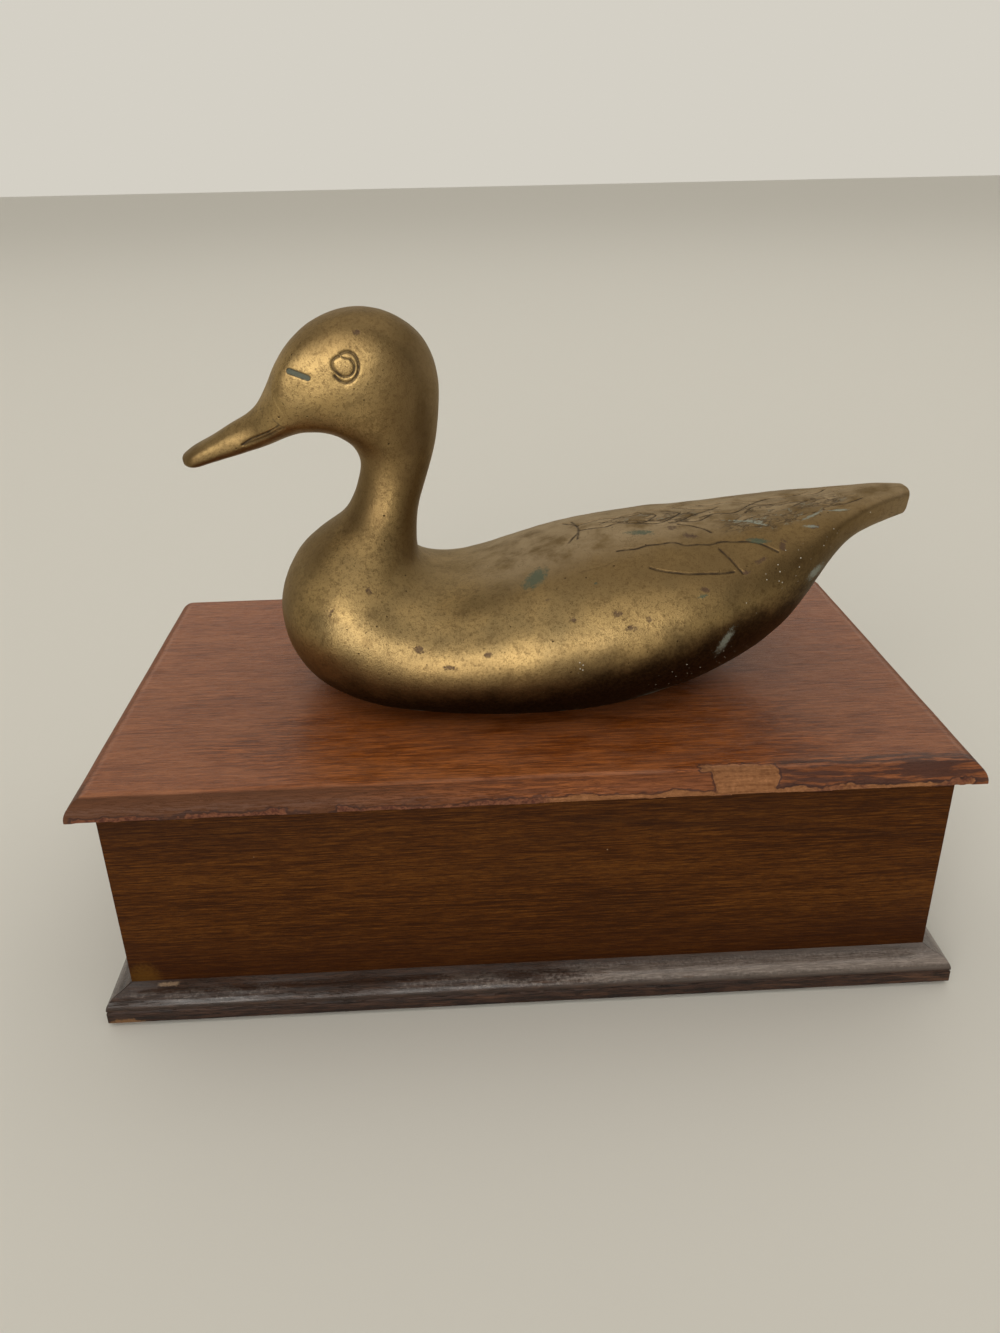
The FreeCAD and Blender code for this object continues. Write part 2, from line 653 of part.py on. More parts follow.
mount_screws = []
washers = []
for number, x in enumerate(boss_places):
    head_top = f"({lid_under} - washer_thickness)"
    head = rod(f"mount_head_{number}", "mount_head_radius", "mount_head_height", x, "0",
               f"{head_top} - mount_head_height")
    shank = rod(f"mount_shank_{number}", "mount_screw_radius", "mount_screw_length", x, "0", head_top)
    slot = block(f"mount_slot_{number}", "2 * mount_head_radius", "mount_slot_width", "mount_slot_depth",
                 f"{x} - mount_head_radius", "-mount_slot_width / 2", f"{head_top} - mount_head_height")
    mount_screws.append(cut(f"mount_screw_{number}", fuse(f"mount_blank_{number}", [head, shank]), slot))
    disc = rod(f"washer_disc_{number}", "washer_radius", "washer_thickness", x, "0", head_top)
    hole = rod(f"washer_hole_{number}", "mount_screw_radius + hole_clearance", "washer_thickness + 2 * overrun",
               x, "0", f"{head_top} - overrun")
    washers.append(cut(f"washer_{number}", disc, hole))
keep(group("mount_screw_set", mount_screws), "duck_screws")
keep(group("washer_set", washers), "duck_washers")


# Every object is checked before anything is written

doc.recompute()
for item in doc.Objects:
    if "Invalid" in item.State or "Error" in item.State:
        raise RuntimeError(f"{item.Label}: {item.State}")
for piece in subparts:
    if piece.Shape.isNull() or not piece.Shape.isValid() or not piece.Shape.Solids:
        raise RuntimeError(f"{piece.Label} has no valid solid")

os.makedirs("parts", exist_ok=True)
for piece in subparts:
    piece.Shape.exportStep(os.path.join("parts", piece.Label + ".step"))
    print(f"{piece.Label}: {len(piece.Shape.Solids)} solid(s), {piece.Shape.Volume:.0f} mm3")
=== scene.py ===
import math

import bmesh
import bpy
import numpy as np
from mathutils import Matrix, Vector
from mathutils.bvhtree import BVHTree


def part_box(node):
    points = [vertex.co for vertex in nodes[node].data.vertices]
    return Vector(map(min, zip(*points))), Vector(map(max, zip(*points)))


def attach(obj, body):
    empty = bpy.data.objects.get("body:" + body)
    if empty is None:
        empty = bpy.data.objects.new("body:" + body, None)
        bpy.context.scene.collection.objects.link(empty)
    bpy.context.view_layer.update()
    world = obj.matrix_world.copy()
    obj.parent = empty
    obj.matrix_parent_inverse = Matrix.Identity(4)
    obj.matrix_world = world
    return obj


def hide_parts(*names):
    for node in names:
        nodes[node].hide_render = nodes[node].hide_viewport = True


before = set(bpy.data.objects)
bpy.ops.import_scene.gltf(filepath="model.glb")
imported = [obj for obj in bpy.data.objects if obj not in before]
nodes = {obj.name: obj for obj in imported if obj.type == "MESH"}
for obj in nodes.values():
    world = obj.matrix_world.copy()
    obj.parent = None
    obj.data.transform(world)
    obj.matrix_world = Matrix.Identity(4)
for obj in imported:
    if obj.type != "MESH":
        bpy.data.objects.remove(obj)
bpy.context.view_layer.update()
metre = 0.001


def boxOf(node):
    # lowest and highest corner of a CAD node, in millimetres
    return [np.array(corner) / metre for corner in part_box(node)]


lidLow, lidHigh = boxOf("lid_board")
lidTop = lidHigh[2]


# Camera, as it stood in the photograph

cameraLook = {
    "place": (-17.9, -308.84, 227.63),
    "yaw": 2.34,
    "pitch": -25.92,
    "roll": -1.21,
    "lens": 27.99,
    "sensor": 36.0,
    "picture": (1000, 1333),
}


def cameraAxes(look):
    # forward, right and up of the camera after yaw, pitch and roll
    yaw, pitch, roll = (math.radians(look[name]) for name in ("yaw", "pitch", "roll"))
    forward = np.array([math.sin(yaw) * math.cos(pitch), math.cos(yaw) * math.cos(pitch), math.sin(pitch)])
    level = np.array([math.cos(yaw), -math.sin(yaw), 0.0])
    above = np.cross(level, forward)
    right = level * math.cos(roll) + above * math.sin(roll)
    up = above * math.cos(roll) - level * math.sin(roll)
    return forward, right, up


def pictureScale(look):
    # middle of the picture and focal length, in pixels
    width, height = look["picture"]
    return width / 2, height / 2, look["lens"] / look["sensor"] * height


def picturePlace(points, look):
    # pixel that each point falls on: its sideways and upward share of its depth, times the focal length
    forward, right, up = cameraAxes(look)
    middle, centre, focal = pictureScale(look)
    offset = points - np.array(look["place"])
    depth = offset @ forward
    return np.stack([middle + focal * (offset @ right) / depth, centre - focal * (offset @ up) / depth], -1)


def makeCamera(look):
    data = bpy.data.cameras.new("studioCamera")
    data.lens = look["lens"]
    data.sensor_width = look["sensor"]
    data.clip_start = 0.01
    camera = bpy.data.objects.new("studioCamera", data)
    forward, right, up = cameraAxes(look)
    turn = np.eye(4)
    turn[:3, :3] = np.stack([right, up, -forward], 1)
    turn[:3, 3] = np.array(look["place"]) * metre
    camera.matrix_world = Matrix(turn.tolist())
    bpy.context.scene.collection.objects.link(camera)
    bpy.context.scene.camera = camera


makeCamera(cameraLook)
print("camera ready")


# Mesh helpers

def smooth(share):
    # rises from 0 to 1 with no kink at either end
    share = np.clip(share, 0.0, 1.0)
    return share * share * (3.0 - 2.0 * share)


def blunt(share):
    # closes like a quarter circle: the root of one less the square of the way still to go
    return np.sqrt(np.clip(1.0 - (1.0 - np.clip(share, 0.0, 1.0)) ** 2, 0.0, 1.0))


def cloud(points, cell, seed):
    # random values on a cubic lattice of that cell size, blended smoothly in between, from -1 to 1
    lattice = 32
    table = np.random.default_rng(seed).uniform(-1.0, 1.0, (lattice, lattice, lattice))
    spots = points / cell
    base = np.floor(spots).astype(int)
    part = smooth(spots - base)
    total = np.zeros(points.shape[:-1])
    for corner in np.ndindex(2, 2, 2):
        index = (base + corner) % lattice
        weight = np.prod(np.where(np.array(corner) == 1, part, 1.0 - part), axis=-1)
        total += weight * table[index[..., 0], index[..., 1], index[..., 2]]
    return total


def naturalCurve(stations, values, at):
    # cubic pieces through the values, with steady slope and bend between them and no bend at the ends
    steps = np.diff(stations)
    count = len(stations)
    inner = np.arange(1, count - 1)
    system = np.eye(count)
    system[inner, inner - 1] = steps[:-1]
    system[inner, inner] = 2.0 * (steps[:-1] + steps[1:])
    system[inner, inner + 1] = steps[1:]
    slopes = np.diff(values, axis=0) / steps[:, None]
    wanted = np.zeros_like(values)
    wanted[1:-1] = 6.0 * np.diff(slopes, axis=0)
    bends = np.linalg.solve(system, wanted)
    piece = np.clip(np.searchsorted(stations, at, side="right") - 1, 0, count - 2)
    step = steps[piece][:, None]
    before = (stations[piece + 1] - at)[:, None]
    after = (at - stations[piece])[:, None]
    curved = (bends[piece] * before ** 3 + bends[piece + 1] * after ** 3) / (6.0 * step)
    straight = (values[piece] / step - bends[piece] * step / 6.0) * before
    return curved + straight + (values[piece + 1] / step - bends[piece + 1] * step / 6.0) * after


def ringFaces(rings, around):
    # four-cornered faces between neighbouring rings of points, each ring closed
    ring, step = np.meshgrid(np.arange(rings - 1), np.arange(around), indexing="ij")
    following = (step + 1) % around
    corners = [ring * around + step, ring * around + following,
               (ring + 1) * around + following, (ring + 1) * around + step]
    return np.stack(corners, -1).reshape(-1, 4)


def closedRings(rings, around, start=0):
    # the faces between the rings, and a flat face over the first ring and over the last
    first = list(range(start, start + around))
    last = [point + (rings - 1) * around for point in first]
    return (ringFaces(rings, around) + start).tolist() + [first, last]


def addMarks(mesh, marks):
    # one number for each vertex under each mark's name, which the materials read
    for name, values in marks.items():
        mesh.attributes.new(name, "FLOAT", "POINT").data.foreach_set("value", values.astype(np.float32))


def meshPiece(name, points, faces, marks=None, crease=40.0):
    # a mesh object from points in millimetres and lists of faces, with its faces turned outwards
    mesh = bpy.data.meshes.new(name)
    mesh.from_pydata((points * metre).tolist(), [], [list(face) for face in faces])
    addMarks(mesh, marks or {})
    work = bmesh.new()
    work.from_mesh(mesh)
    bmesh.ops.recalc_face_normals(work, faces=work.faces)
    work.to_mesh(mesh)
    work.free()
    mesh.polygons.foreach_set("use_smooth", np.ones(len(mesh.polygons), bool))
    mesh.set_sharp_from_angle(angle=math.radians(crease))
    piece = bpy.data.objects.new(name, mesh)
    bpy.context.scene.collection.objects.link(piece)
    return piece


def cutAway(piece, solids, crease=35.0):
    # takes closed solids, each given as points and faces in millimetres, out of the piece
    points = np.concatenate([solid[0] for solid in solids])
    starts = np.cumsum([0] + [len(solid[0]) for solid in solids])
    faces = [[corner + start for corner in face] for solid, start in zip(solids, starts) for face in solid[1]]
    cutter = meshPiece(piece.name + "Cutter", points, faces)
    change = piece.modifiers.new("cut", "BOOLEAN")
    change.operation = "DIFFERENCE"
    change.solver = "EXACT"
    change.object = cutter
    bpy.context.view_layer.update()
    cutMesh = bpy.data.meshes.new_from_object(piece.evaluated_get(bpy.context.evaluated_depsgraph_get()))
    cutMesh.set_sharp_from_angle(angle=math.radians(crease))
    piece.modifiers.clear()
    piece.data = cutMesh
    bpy.data.objects.remove(cutter)


def brick(low, high):
    # eight corners and six faces of a block
    sides = list(zip(low, high))
    corners = np.array([[x, y, z] for z in sides[2] for y in sides[1] for x in sides[0]])
    faces = [(0, 2, 3, 1), (4, 5, 7, 6), (0, 1, 5, 4), (2, 6, 7, 3), (0, 4, 6, 2), (1, 3, 7, 5)]
    return corners, faces


def drum(centre, radius, low, high, sides=48):
    # a closed upright cylinder
    angle = np.arange(sides) * math.tau / sides
    ring = np.stack([centre[0] + radius * np.cos(angle), centre[1] + radius * np.sin(angle)], -1)
    points = np.concatenate([np.column_stack([ring, np.full(sides, level)]) for level in (low, high)])
    faces = [list(face) for face in ringFaces(2, sides)]
    return points, faces + [list(range(sides))[::-1], list(range(sides, 2 * sides))]


# Duck, a cast skin between three curves that run from bill to tail

duckLook = {
    "length": 223.0,
    "height": 115.0,
    "width": 87.0,
    "billForward": 98.7,
    "upperSteps": 104,
    "lowerSteps": 44,
    "billRound": 0.8,
    "tailRound": 1.4,
    "roundSteps": 7,
    "unevenness": 0.17,
    "coarseCell": 9.0,
    "fineCell": 3.1,
    "fineShare": 0.4,
    "allowance": 0.2,
    "footFade": 0.8,
    "cheekAt": 12.2,
    "cheekBulge": 0.54,
    "cheekSoft": 0.8,
    "neckRow": 13,
    "refineReach": (1.1, 0.55),
    "crease": 60.0,
}

# One row for each cut across the duck, from bill to tail: how far along and how high the top and
# the underside lie, then the half width and where between underside and top it is widest. The last
# two numbers are how square the cut's shoulders are, where 1 is an ellipse and less is squarer, and
# how many rings of points follow the cut.
duckCuts = [
    (0.000, 0.645, 0.004, 0.620, 0.038, 0.50, 0.80, 7),
    (0.012, 0.662, 0.013, 0.615, 0.073, 0.45, 0.78, 8),
    (0.037, 0.687, 0.036, 0.622, 0.085, 0.40, 0.76, 10),
    (0.070, 0.722, 0.070, 0.639, 0.083, 0.40, 0.80, 11),
    (0.100, 0.757, 0.104, 0.657, 0.092, 0.42, 0.90, 14),
    (0.122, 0.817, 0.131, 0.675, 0.126, 0.45, 0.90, 15),
    (0.144, 0.892, 0.158, 0.692, 0.172, 0.50, 0.86, 16),
    (0.182, 0.961, 0.183, 0.697, 0.201, 0.50, 0.84, 16),
    (0.237, 0.997, 0.206, 0.689, 0.214, 0.50, 0.84, 16),
    (0.290, 0.979, 0.223, 0.669, 0.209, 0.50, 0.88, 14),
    (0.332, 0.911, 0.232, 0.647, 0.190, 0.50, 0.92, 13),
    (0.347, 0.802, 0.236, 0.619, 0.156, 0.50, 0.94, 10),
    (0.342, 0.687, 0.234, 0.587, 0.133, 0.50, 0.94, 9),
    (0.326, 0.575, 0.225, 0.535, 0.129, 0.50, 0.94, 8),
    (0.312, 0.484, 0.206, 0.478, 0.150, 0.50, 0.97, 8),
    (0.308, 0.412, 0.168, 0.425, 0.213, 0.50, 1.00, 8),
    (0.309, 0.361, 0.132, 0.353, 0.297, 0.50, 1.00, 9),
    (0.327, 0.329, 0.111, 0.231, 0.374, 0.50, 1.00, 10),
    (0.375, 0.324, 0.146, 0.048, 0.426, 0.50, 1.00, 14),
    (0.446, 0.363, 0.271, -0.052, 0.475, 0.48, 1.00, 24),
    (0.555, 0.422, 0.489, -0.077, 0.500, 0.48, 0.98, 26),
    (0.667, 0.445, 0.638, -0.030, 0.470, 0.52, 0.96, 26),
    (0.765, 0.462, 0.754, 0.054, 0.377, 0.58, 0.92, 22),
    (0.847, 0.478, 0.832, 0.184, 0.271, 0.65, 0.86, 18),
    (0.908, 0.488, 0.893, 0.348, 0.165, 0.70, 0.80, 14),
    (0.959, 0.501, 0.949, 0.403, 0.100, 0.70, 0.74, 11),
    (0.995, 0.502, 0.993, 0.429, 0.056, 0.60, 0.70, 0),
]

# Lines cut into the casting: places in the photograph, width and depth in millimetres, and how dark the
# dirt in them is
carvedLines = {
    "eyeOuter": ([(340.4, 353.8), (346.2, 351.7), (352, 353), (356.4, 358), (358.4, 364), (357.8, 372.7),
        (353.5, 380), (346.9, 383.3), (340.4, 381.5), (334.5, 376.4)], 0.46, 0.36, 1.0),
    "eyeInner": ([(350.5, 359.6), (353.2, 363), (354.2, 368.4), (352, 374.2), (346.2, 377.1),
        (340.4, 375.6), (335.3, 371.3), (332.4, 366.9), (331.9, 362), (334.2, 358.4),
        (338.9, 356)], 0.40, 0.36, 1.0),
    "eyeLoop": ([(340.4, 353.8), (341.8, 356.9), (346.5, 358.8), (350.5, 359.6)], 0.22, 0.22, 0.9),
    "mouthUpper": ([(242.5, 445), (250, 440), (258, 436.6), (266, 433.8), (273, 430),
        (277.5, 427)], 0.38, 0.42, 1.0),
    "mouthMiddle": ([(246, 444), (258, 440.5), (268, 436.5), (277, 431.5), (282, 429)], 0.85, 0.30, 0.6),
    "mouthLower": ([(242.5, 445.5), (250, 444.5), (260, 441.5), (270, 438), (278, 434),
        (283, 432.5)], 0.25, 0.16, 0.6),
    "billCrease": ([(271.8, 420), (275.5, 423.5), (279.5, 427), (284, 429.5)], 0.60, 0.36, 0.6),
    "billRoot": ([(263, 391), (267, 402), (271.5, 412), (277, 420)], 3.4, 0.50, 0.20),
    "billStep": ([(272, 389), (273.2, 399), (276.5, 406.5), (280.9, 412.5), (284, 420)], 1.4, 0.34, 0.20),
    "neckCrease": ([(398, 552), (399, 562), (397, 572), (392, 580)], 2.0, 0.30, 0.0),
    "forkLine": ([(571, 521), (576.3, 524.7), (578.3, 528.7), (573.7, 535.3),
        (568.3, 541.3)], 0.46, 0.52, 1.00),
    "firstQuill": ([(578.3, 529.3), (598.3, 526.7), (607.7, 525.3), (614.3, 522.7), (627.7, 522),
        (643.7, 522.3), (658.3, 522), (666, 519.5), (673, 516), (679.7, 512)], 0.43, 0.52, 1.00),
    "secondQuill": ([(599.7, 523.3), (609, 520), (619.7, 517.3), (633, 514.7), (643.7, 512), (654.3, 510.3),
        (665, 510.5), (674.3, 510.7), (680, 512)], 0.41, 0.49, 0.98),
    "hookQuill": ([(643.7, 514), (650.3, 513.7), (655.7, 514.7), (651.7, 517.5),
        (645.7, 520.7)], 0.38, 0.52, 1.00),
    "thirdQuill": ([(678.3, 522.7), (689, 524), (698.3, 526), (705, 528), (711, 531.3)], 0.43, 0.55, 1.00),
    "fourthQuill": ([(669, 521.3), (679.7, 519.3), (691.7, 514), (705, 510), (717, 506)], 0.43, 0.55, 0.98),
    "upperQuill": ([(669, 507.3), (678.3, 505.3), (691.7, 504), (708, 504.5),
        (722, 502)], 0.41, 0.49, 0.86),
    "brightQuill": ([(712, 519.5), (722, 518.6), (735, 519.5), (747.7, 520), (758, 522.6),
        (768, 524.5)], 0.34, 0.30, 0.1),
    "bentQuill": ([(700, 516), (718, 512), (735, 511), (748, 504.5), (764, 499),
        (785, 497)], 0.43, 0.52, 0.92),
    "crownQuill": ([(735, 499.5), (752.5, 500.5), (770, 497), (790, 495), (806, 491)], 0.41, 0.49, 0.86),
    "longQuill": ([(617, 550), (627.7, 548.7), (638.3, 547.6), (646.3, 545), (658.3, 543.3), (671.7, 541),
        (678.3, 542), (685, 544), (698.3, 543.3), (711.7, 543.3), (718.3, 541.3), (731.7, 540.7),
        (746, 540.5), (760, 543), (770.6, 547.5), (778.3, 551.3)], 0.41, 0.44, 0.98),
    "lowQuill": ([(650.3, 566.7), (658.3, 569.3), (669, 571.3), (679.7, 572.7), (691.7, 573.3),
        (705, 572.7), (718.3, 572.7), (734.3, 571.3)], 0.43, 0.49, 0.92),
    "wedgeQuill": ([(719.7, 548), (726.3, 554), (733, 560.7), (739.7, 568.7),
        (743.7, 573.3)], 0.43, 0.42, 0.80),
    "flankLine": ([(578.3, 571.3), (598.3, 566), (607.7, 563.3), (615.7, 558.7)], 0.32, 0.16, 0.35),
    "tailUpper": ([(830.5, 489), (836.8, 492.7), (845.7, 495.3), (856, 494.6)], 0.30, 0.26, 0.2),
    "tailMiddle": ([(792, 505), (808, 499), (822, 497.5), (838, 500)], 0.41, 0.49, 0.86),
    "tailLower": ([(801, 519), (812, 513.5), (820, 509.5), (830, 509), (840, 510),
        (850, 508.5)], 0.34, 0.26, 0.1),
    "tailFork": ([(815, 504), (832, 504.5), (848, 502), (862, 497)], 0.38, 0.44, 0.80),
}

# One scratch on the near cheek, from and to in the photograph, filled with grey-green dirt
cheekScratch = {
    "from": (288.3, 371.0),
    "to": (307.3, 378.2),
    "width": 0.72,
    "depth": 0.30,
    "soft": 0.18,
    "reach": 4.0,
}

# Marks on the skin: place in the photograph, half length and half width in its pixels, slope in degrees
skinMarks = {
    "green": [((535, 578), (17, 9.5), -38), ((641, 532), (17, 3.4), 0), ((760, 540.5), (14, 3), 6),
        ((703, 596), (6, 2.6), -20), ((596, 583), (4, 2.4), 0)],
    "pale": [((726, 641), (20, 4.5), -54), ((668, 690), (40, 2.2), -15), ((812, 515), (13, 1.9), -24),
        ((838, 509.5), (14, 1.0), -4), ((811, 526), (10, 1.7), 4), ((816, 572), (14, 4), -46),
        ((757, 522), (13, 0.9), 10), ((745, 519.8), (20, 0.8), 2), ((460, 703), (24, 1.2), 3)],
    "dark": [((760.5, 561), (8.5, 4), -28), ((783, 545), (4.5, 7.5), 14), ((747, 572), (5, 3.5), -10),
        ((650, 620), (4.5, 3.6), 0), ((632, 628), (9, 4), -12), ((618, 614), (6, 4), 20),
        ((706, 589), (7, 3.5), 0), ((815, 526.5), (9, 2.4), 0), ((357, 332), (5, 4), 0),
        ((449, 668), (8, 3.4), 10), ((420, 650), (7, 4), 0), ((488, 655), (7, 4), 0),
        ((690, 535), (11, 3.4), 8), ((672, 527), (9, 2.6), 6), ((573, 619), (5, 3), 0),
        ((548, 598), (5, 2.5), -20), ((330, 612), (5, 4), 0), ((368, 590), (6, 3), 30)],
    "ruffle": [((765, 516), (52, 17), -10), ((815, 505), (42, 12), -14), ((665, 517), (55, 7), -4)],
    "specks": [((578, 668), (15, 8), -6), ((790, 566), (30, 18), -50), ((826, 540), (22, 9), -42),
        ((700, 668), (60, 12), -22), ((768, 584), (16, 12), 0), ((745, 612), (20, 9), -30),
        ((864, 512), (16, 4), -14)],
    # painted highlights: lighter brass where the light catches the chest, flank, cheek, bill, neck and tail
    "paintedHighlight": [((347, 606), (27, 19), -14), ((318, 596), (18, 22), 0), ((662, 606), (74, 20), -10),
        ((318, 388), (34, 26), 0), ((350, 362), (34, 36), 0), ((275, 432), (9, 6), -30),
        ((792, 524), (16, 7), -34), ((392, 508), (9, 28), 8)],
}


def duckSkin(look, cuts):
    # rings of points: each ring's centre lies on the chord from underside to top, where it is widest,
    # and two half ovals join the sides to the top and to the underside
    table = np.array(cuts)
    size = np.array([look["length"], look["height"]])
    start = np.array([-look["billForward"], lidTop])
    tops = table[:, 0:2] * size + start
    lows = table[:, 2:4] * size + start
    shapes = table[:, 4:7] * np.array([look["width"], 1.0, 1.0])
    walk = lambda path: np.linalg.norm(np.diff(path, axis=0), axis=1)
    middles = walk((tops + lows) / 2)
    travelled = np.concatenate([[0.0], np.cumsum(middles + walk(tops) / 2 + walk(lows) / 2)])
    stations = travelled / travelled[-1]
    at = np.concatenate([np.linspace(stations[i], stations[i + 1], int(table[i, 7]), endpoint=False)
                         for i in range(len(cuts) - 1)] + [[1.0]])
    # extra rings close to both ends carry the rounding
    crowd = 1.0 - np.cos(np.linspace(0.0, math.pi / 2, look["roundSteps"]))
    billSpan = look["billRound"] / middles[0] * (stations[1] - stations[0])
    tailSpan = look["tailRound"] / middles[-1] * (stations[-1] - stations[-2])
    between = at[(at > billSpan) & (at < 1.0 - tailSpan)]
    at = np.concatenate([billSpan * crowd, between, 1.0 - tailSpan * crowd[::-1]])
    top, low, shape = (naturalCurve(stations, values, at) for values in (tops, lows, shapes))
    rounding = blunt(at / billSpan) * blunt((1.0 - at) / tailSpan)
    angle = np.concatenate([np.linspace(0.0, math.pi, look["upperSteps"], endpoint=False),
                            np.linspace(math.pi, math.tau, look["lowerSteps"], endpoint=False)])
    square = shape[:, 2:3]
    centre = low + (top - low) * shape[:, 1:2]
    end = np.where((np.sin(angle) >= 0)[None, :, None], top[:, None, :], low[:, None, :])
    share = np.abs(np.sin(angle))[None, :] ** square
    flat = centre[:, None, :] + (end - centre[:, None, :]) * (share * rounding[:, None])[..., None]
    reach = shape[:, 0:1] * np.abs(np.cos(angle)) ** square * rounding[:, None]
    # the cheeks are nearly flat: past a certain width the head bulges less
    beyond = np.maximum(reach - look["cheekAt"], 0.0) * (at < stations[look["neckRow"]])[:, None]
    softBeyond = beyond ** 2 / (beyond + look["cheekSoft"])
    sideways = (reach - softBeyond * (1.0 - look["cheekBulge"])) * np.sign(np.cos(angle))
    return np.stack([flat[..., 0], sideways, flat[..., 1]], -1)


def closedSkin(skin):
    # points and faces of the rings, with one point closing each end
    rings, around = skin.shape[:2]
    body = skin[1:-1].reshape(-1, 3)
    points = np.concatenate([body, [skin[0].mean(0), skin[-1].mean(0)]])
    step = np.arange(around)
    following = (step + 1) % around
    last = (rings - 3) * around
    ends = [np.stack([np.full(around, len(body)), following, step], -1),
            np.stack([np.full(around, len(body) + 1), last + step, last + following], -1)]
    return points, ringFaces(rings - 2, around).tolist() + np.concatenate(ends).tolist()


def fineLine(pixels, spacing=0.8):
    # a smooth line through the given pixels, in steps of the spacing
    pixels = np.array(pixels, float)
    travelled = np.concatenate([[0.0], np.cumsum(np.linalg.norm(np.diff(pixels, axis=0), axis=1))])
    at = np.linspace(0.0, travelled[-1], max(3, int(travelled[-1] / spacing)))
    return naturalCurve(travelled, pixels, at)


def spotsOnSkin(look, pixels, tree):
    # where the camera's rays through the pixels first meet the skin, in millimetres, or else the skin's
    # nearest spot to where such a ray passes the middle of the duck
    forward, right, up = cameraAxes(look)
    middle, centre, focal = pictureScale(look)
    eye = Vector(look["place"]) * metre
    spots = []
    for across, down in pixels:
        way = Vector(forward + right * ((across - middle) / focal) - up * ((down - centre) / focal))
        spot = tree.ray_cast(eye, way)[0]
        if spot is None:
            spot = tree.find_nearest(eye + way * (abs(look["place"][1]) * metre))[0]
        spots.append(spot / metre)
    return np.array(spots)


def gapTo(points, spots, reach):
    # distance from each point to the nearest spot, worked out only near them and in groups that fit memory
    farAway = 99.0
    pairsAtOnce = 2000000
    gap = np.full(len(points), farAway)
    near = np.flatnonzero(np.all((points > spots.min(0) - reach) & (points < spots.max(0) + reach), axis=1))
    for group in np.array_split(near, max(1, len(near) * len(spots) // pairsAtOnce)):
        gap[group] = np.linalg.norm(points[group][:, None, :] - spots[None, :, :], axis=-1).min(axis=1)
    return gap


def refine(work, lines, reach):
    # halves the edges that come within reach of the lines
    work.verts.ensure_lookup_table()
    points = np.array([vertex.co for vertex in work.verts]) / metre
    gap = np.min([gapTo(points, spots, reach) for spots in lines], axis=0)
    work.verts.index_update()
    edges = [edge for edge in work.edges if min(gap[edge.verts[0].index], gap[edge.verts[1].index]) < reach]
    bmesh.ops.subdivide_edges(work, edges=edges, cuts=1, use_grid_fill=True)


def carve(look, points, normals, lines, scratch):
    # sinks lines and scratch into the skin and notes where dirt, residue and painted highlights lie
    toCamera = np.array(cameraLook["place"]) - points
    facing = (normals * toCamera).sum(1) / np.linalg.norm(toCamera, axis=1)
    places = picturePlace(points, cameraLook)
    marks = {name: np.zeros(len(points)) for name in ("groove", *skinMarks)}
    sunk = np.zeros(len(points))
    for spots, width, depth, dirt in lines:
        near = np.exp(-(gapTo(points, spots, 4 * width) / width) ** 2)
        sunk = np.maximum(sunk, depth * near)
        marks["groove"] = np.maximum(marks["groove"], dirt * near)
    wide, soft = cheekScratch["width"], cheekScratch["soft"]
    gap = gapTo(points, scratch, cheekScratch["reach"])
    inside = smooth((wide + soft - gap) / (2 * soft))
    sunk = np.maximum(sunk, inside * cheekScratch["depth"])
    outline = np.exp(-((gap - wide) / soft) ** 2)
    marks["groove"] = np.maximum(marks["groove"], outline)
    for name, blobs in skinMarks.items():
        for centre, (half, thin), slope in blobs:
            tilt = math.radians(slope)
            offset = places - np.array(centre)
            along = (offset @ np.array([math.cos(tilt), math.sin(tilt)])) / half
            across = (offset @ np.array([-math.sin(tilt), math.cos(tilt)])) / thin
            marks[name] = np.maximum(marks[name], np.exp(-(along ** 2 + across ** 2)) * (facing > -0.1))
    marks["scratch"] = inside
    uneven = cloud(points, look["coarseCell"], 11) + look["fineShare"] * cloud(points, look["fineCell"], 12)
    uneven = look["unevenness"] * uneven
    # the foot stays on the lid
    free = smooth((points[:, 2] - lidTop) / look["footFade"])
    return points - normals * ((sunk + look["allowance"] - uneven) * free)[:, None], marks


def makeDuck(look):
    # the closed skin, cut off at the lid, made finer near the lines and then sunk along its own normals
    points, faces = closedSkin(duckSkin(look, duckCuts))
    duck = meshPiece("duckSkin", points, faces)
    mesh = duck.data
    work = bmesh.new()
    work.from_mesh(mesh)
    everything = list(work.verts) + list(work.edges) + list(work.faces)
    # the duck stands on the lid, so the skin ends there and a flat face closes it
    cut = bmesh.ops.bisect_plane(work, geom=everything, plane_co=(0, 0, lidTop * metre),
                                 plane_no=(0, 0, -1), clear_outer=True)
    rim = [item for item in cut["geom_cut"] if isinstance(item, bmesh.types.BMEdge)]
    bmesh.ops.contextual_create(work, geom=rim)
    tree = BVHTree.FromBMesh(work)
    # the far side takes the near side's lines, mirrored
    mirror = np.array([1.0, -1.0, 1.0])
    lines = [(spotsOnSkin(cameraLook, fineLine(line[0]), tree), *line[1:]) for line in carvedLines.values()]
    lines += [(spots * mirror, *rest) for spots, *rest in lines]
    scratch = spotsOnSkin(cameraLook, fineLine([cheekScratch["from"], cheekScratch["to"]]), tree)
    for reach in look["refineReach"]:
        refine(work, [line[0] for line in lines] + [scratch], reach)
    bmesh.ops.recalc_face_normals(work, faces=work.faces)
    work.to_mesh(mesh)
    work.free()
    places = np.empty(len(mesh.vertices) * 3)
    normals = np.empty(len(mesh.vertices) * 3)
    mesh.vertices.foreach_get("co", places)
    mesh.vertices.foreach_get("normal", normals)
    places, marks = carve(look, places.reshape(-1, 3) / metre, normals.reshape(-1, 3), lines, scratch)
    mesh.vertices.foreach_set("co", (places * metre).ravel())
    addMarks(mesh, marks)
    mesh.polygons.foreach_set("use_smooth", np.ones(len(mesh.polygons), bool))
    mesh.update()
    mesh.set_sharp_from_angle(angle=math.radians(look["crease"]))
    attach(duck, "lid")
    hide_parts("duck_casting")
    return duck


duck = makeDuck(duckLook)
print("duck ready,", sum(len(face.vertices) - 2 for face in duck.data.polygons), "triangles")


# Lid board: one ring of points for each level of its edge, closed by flat faces

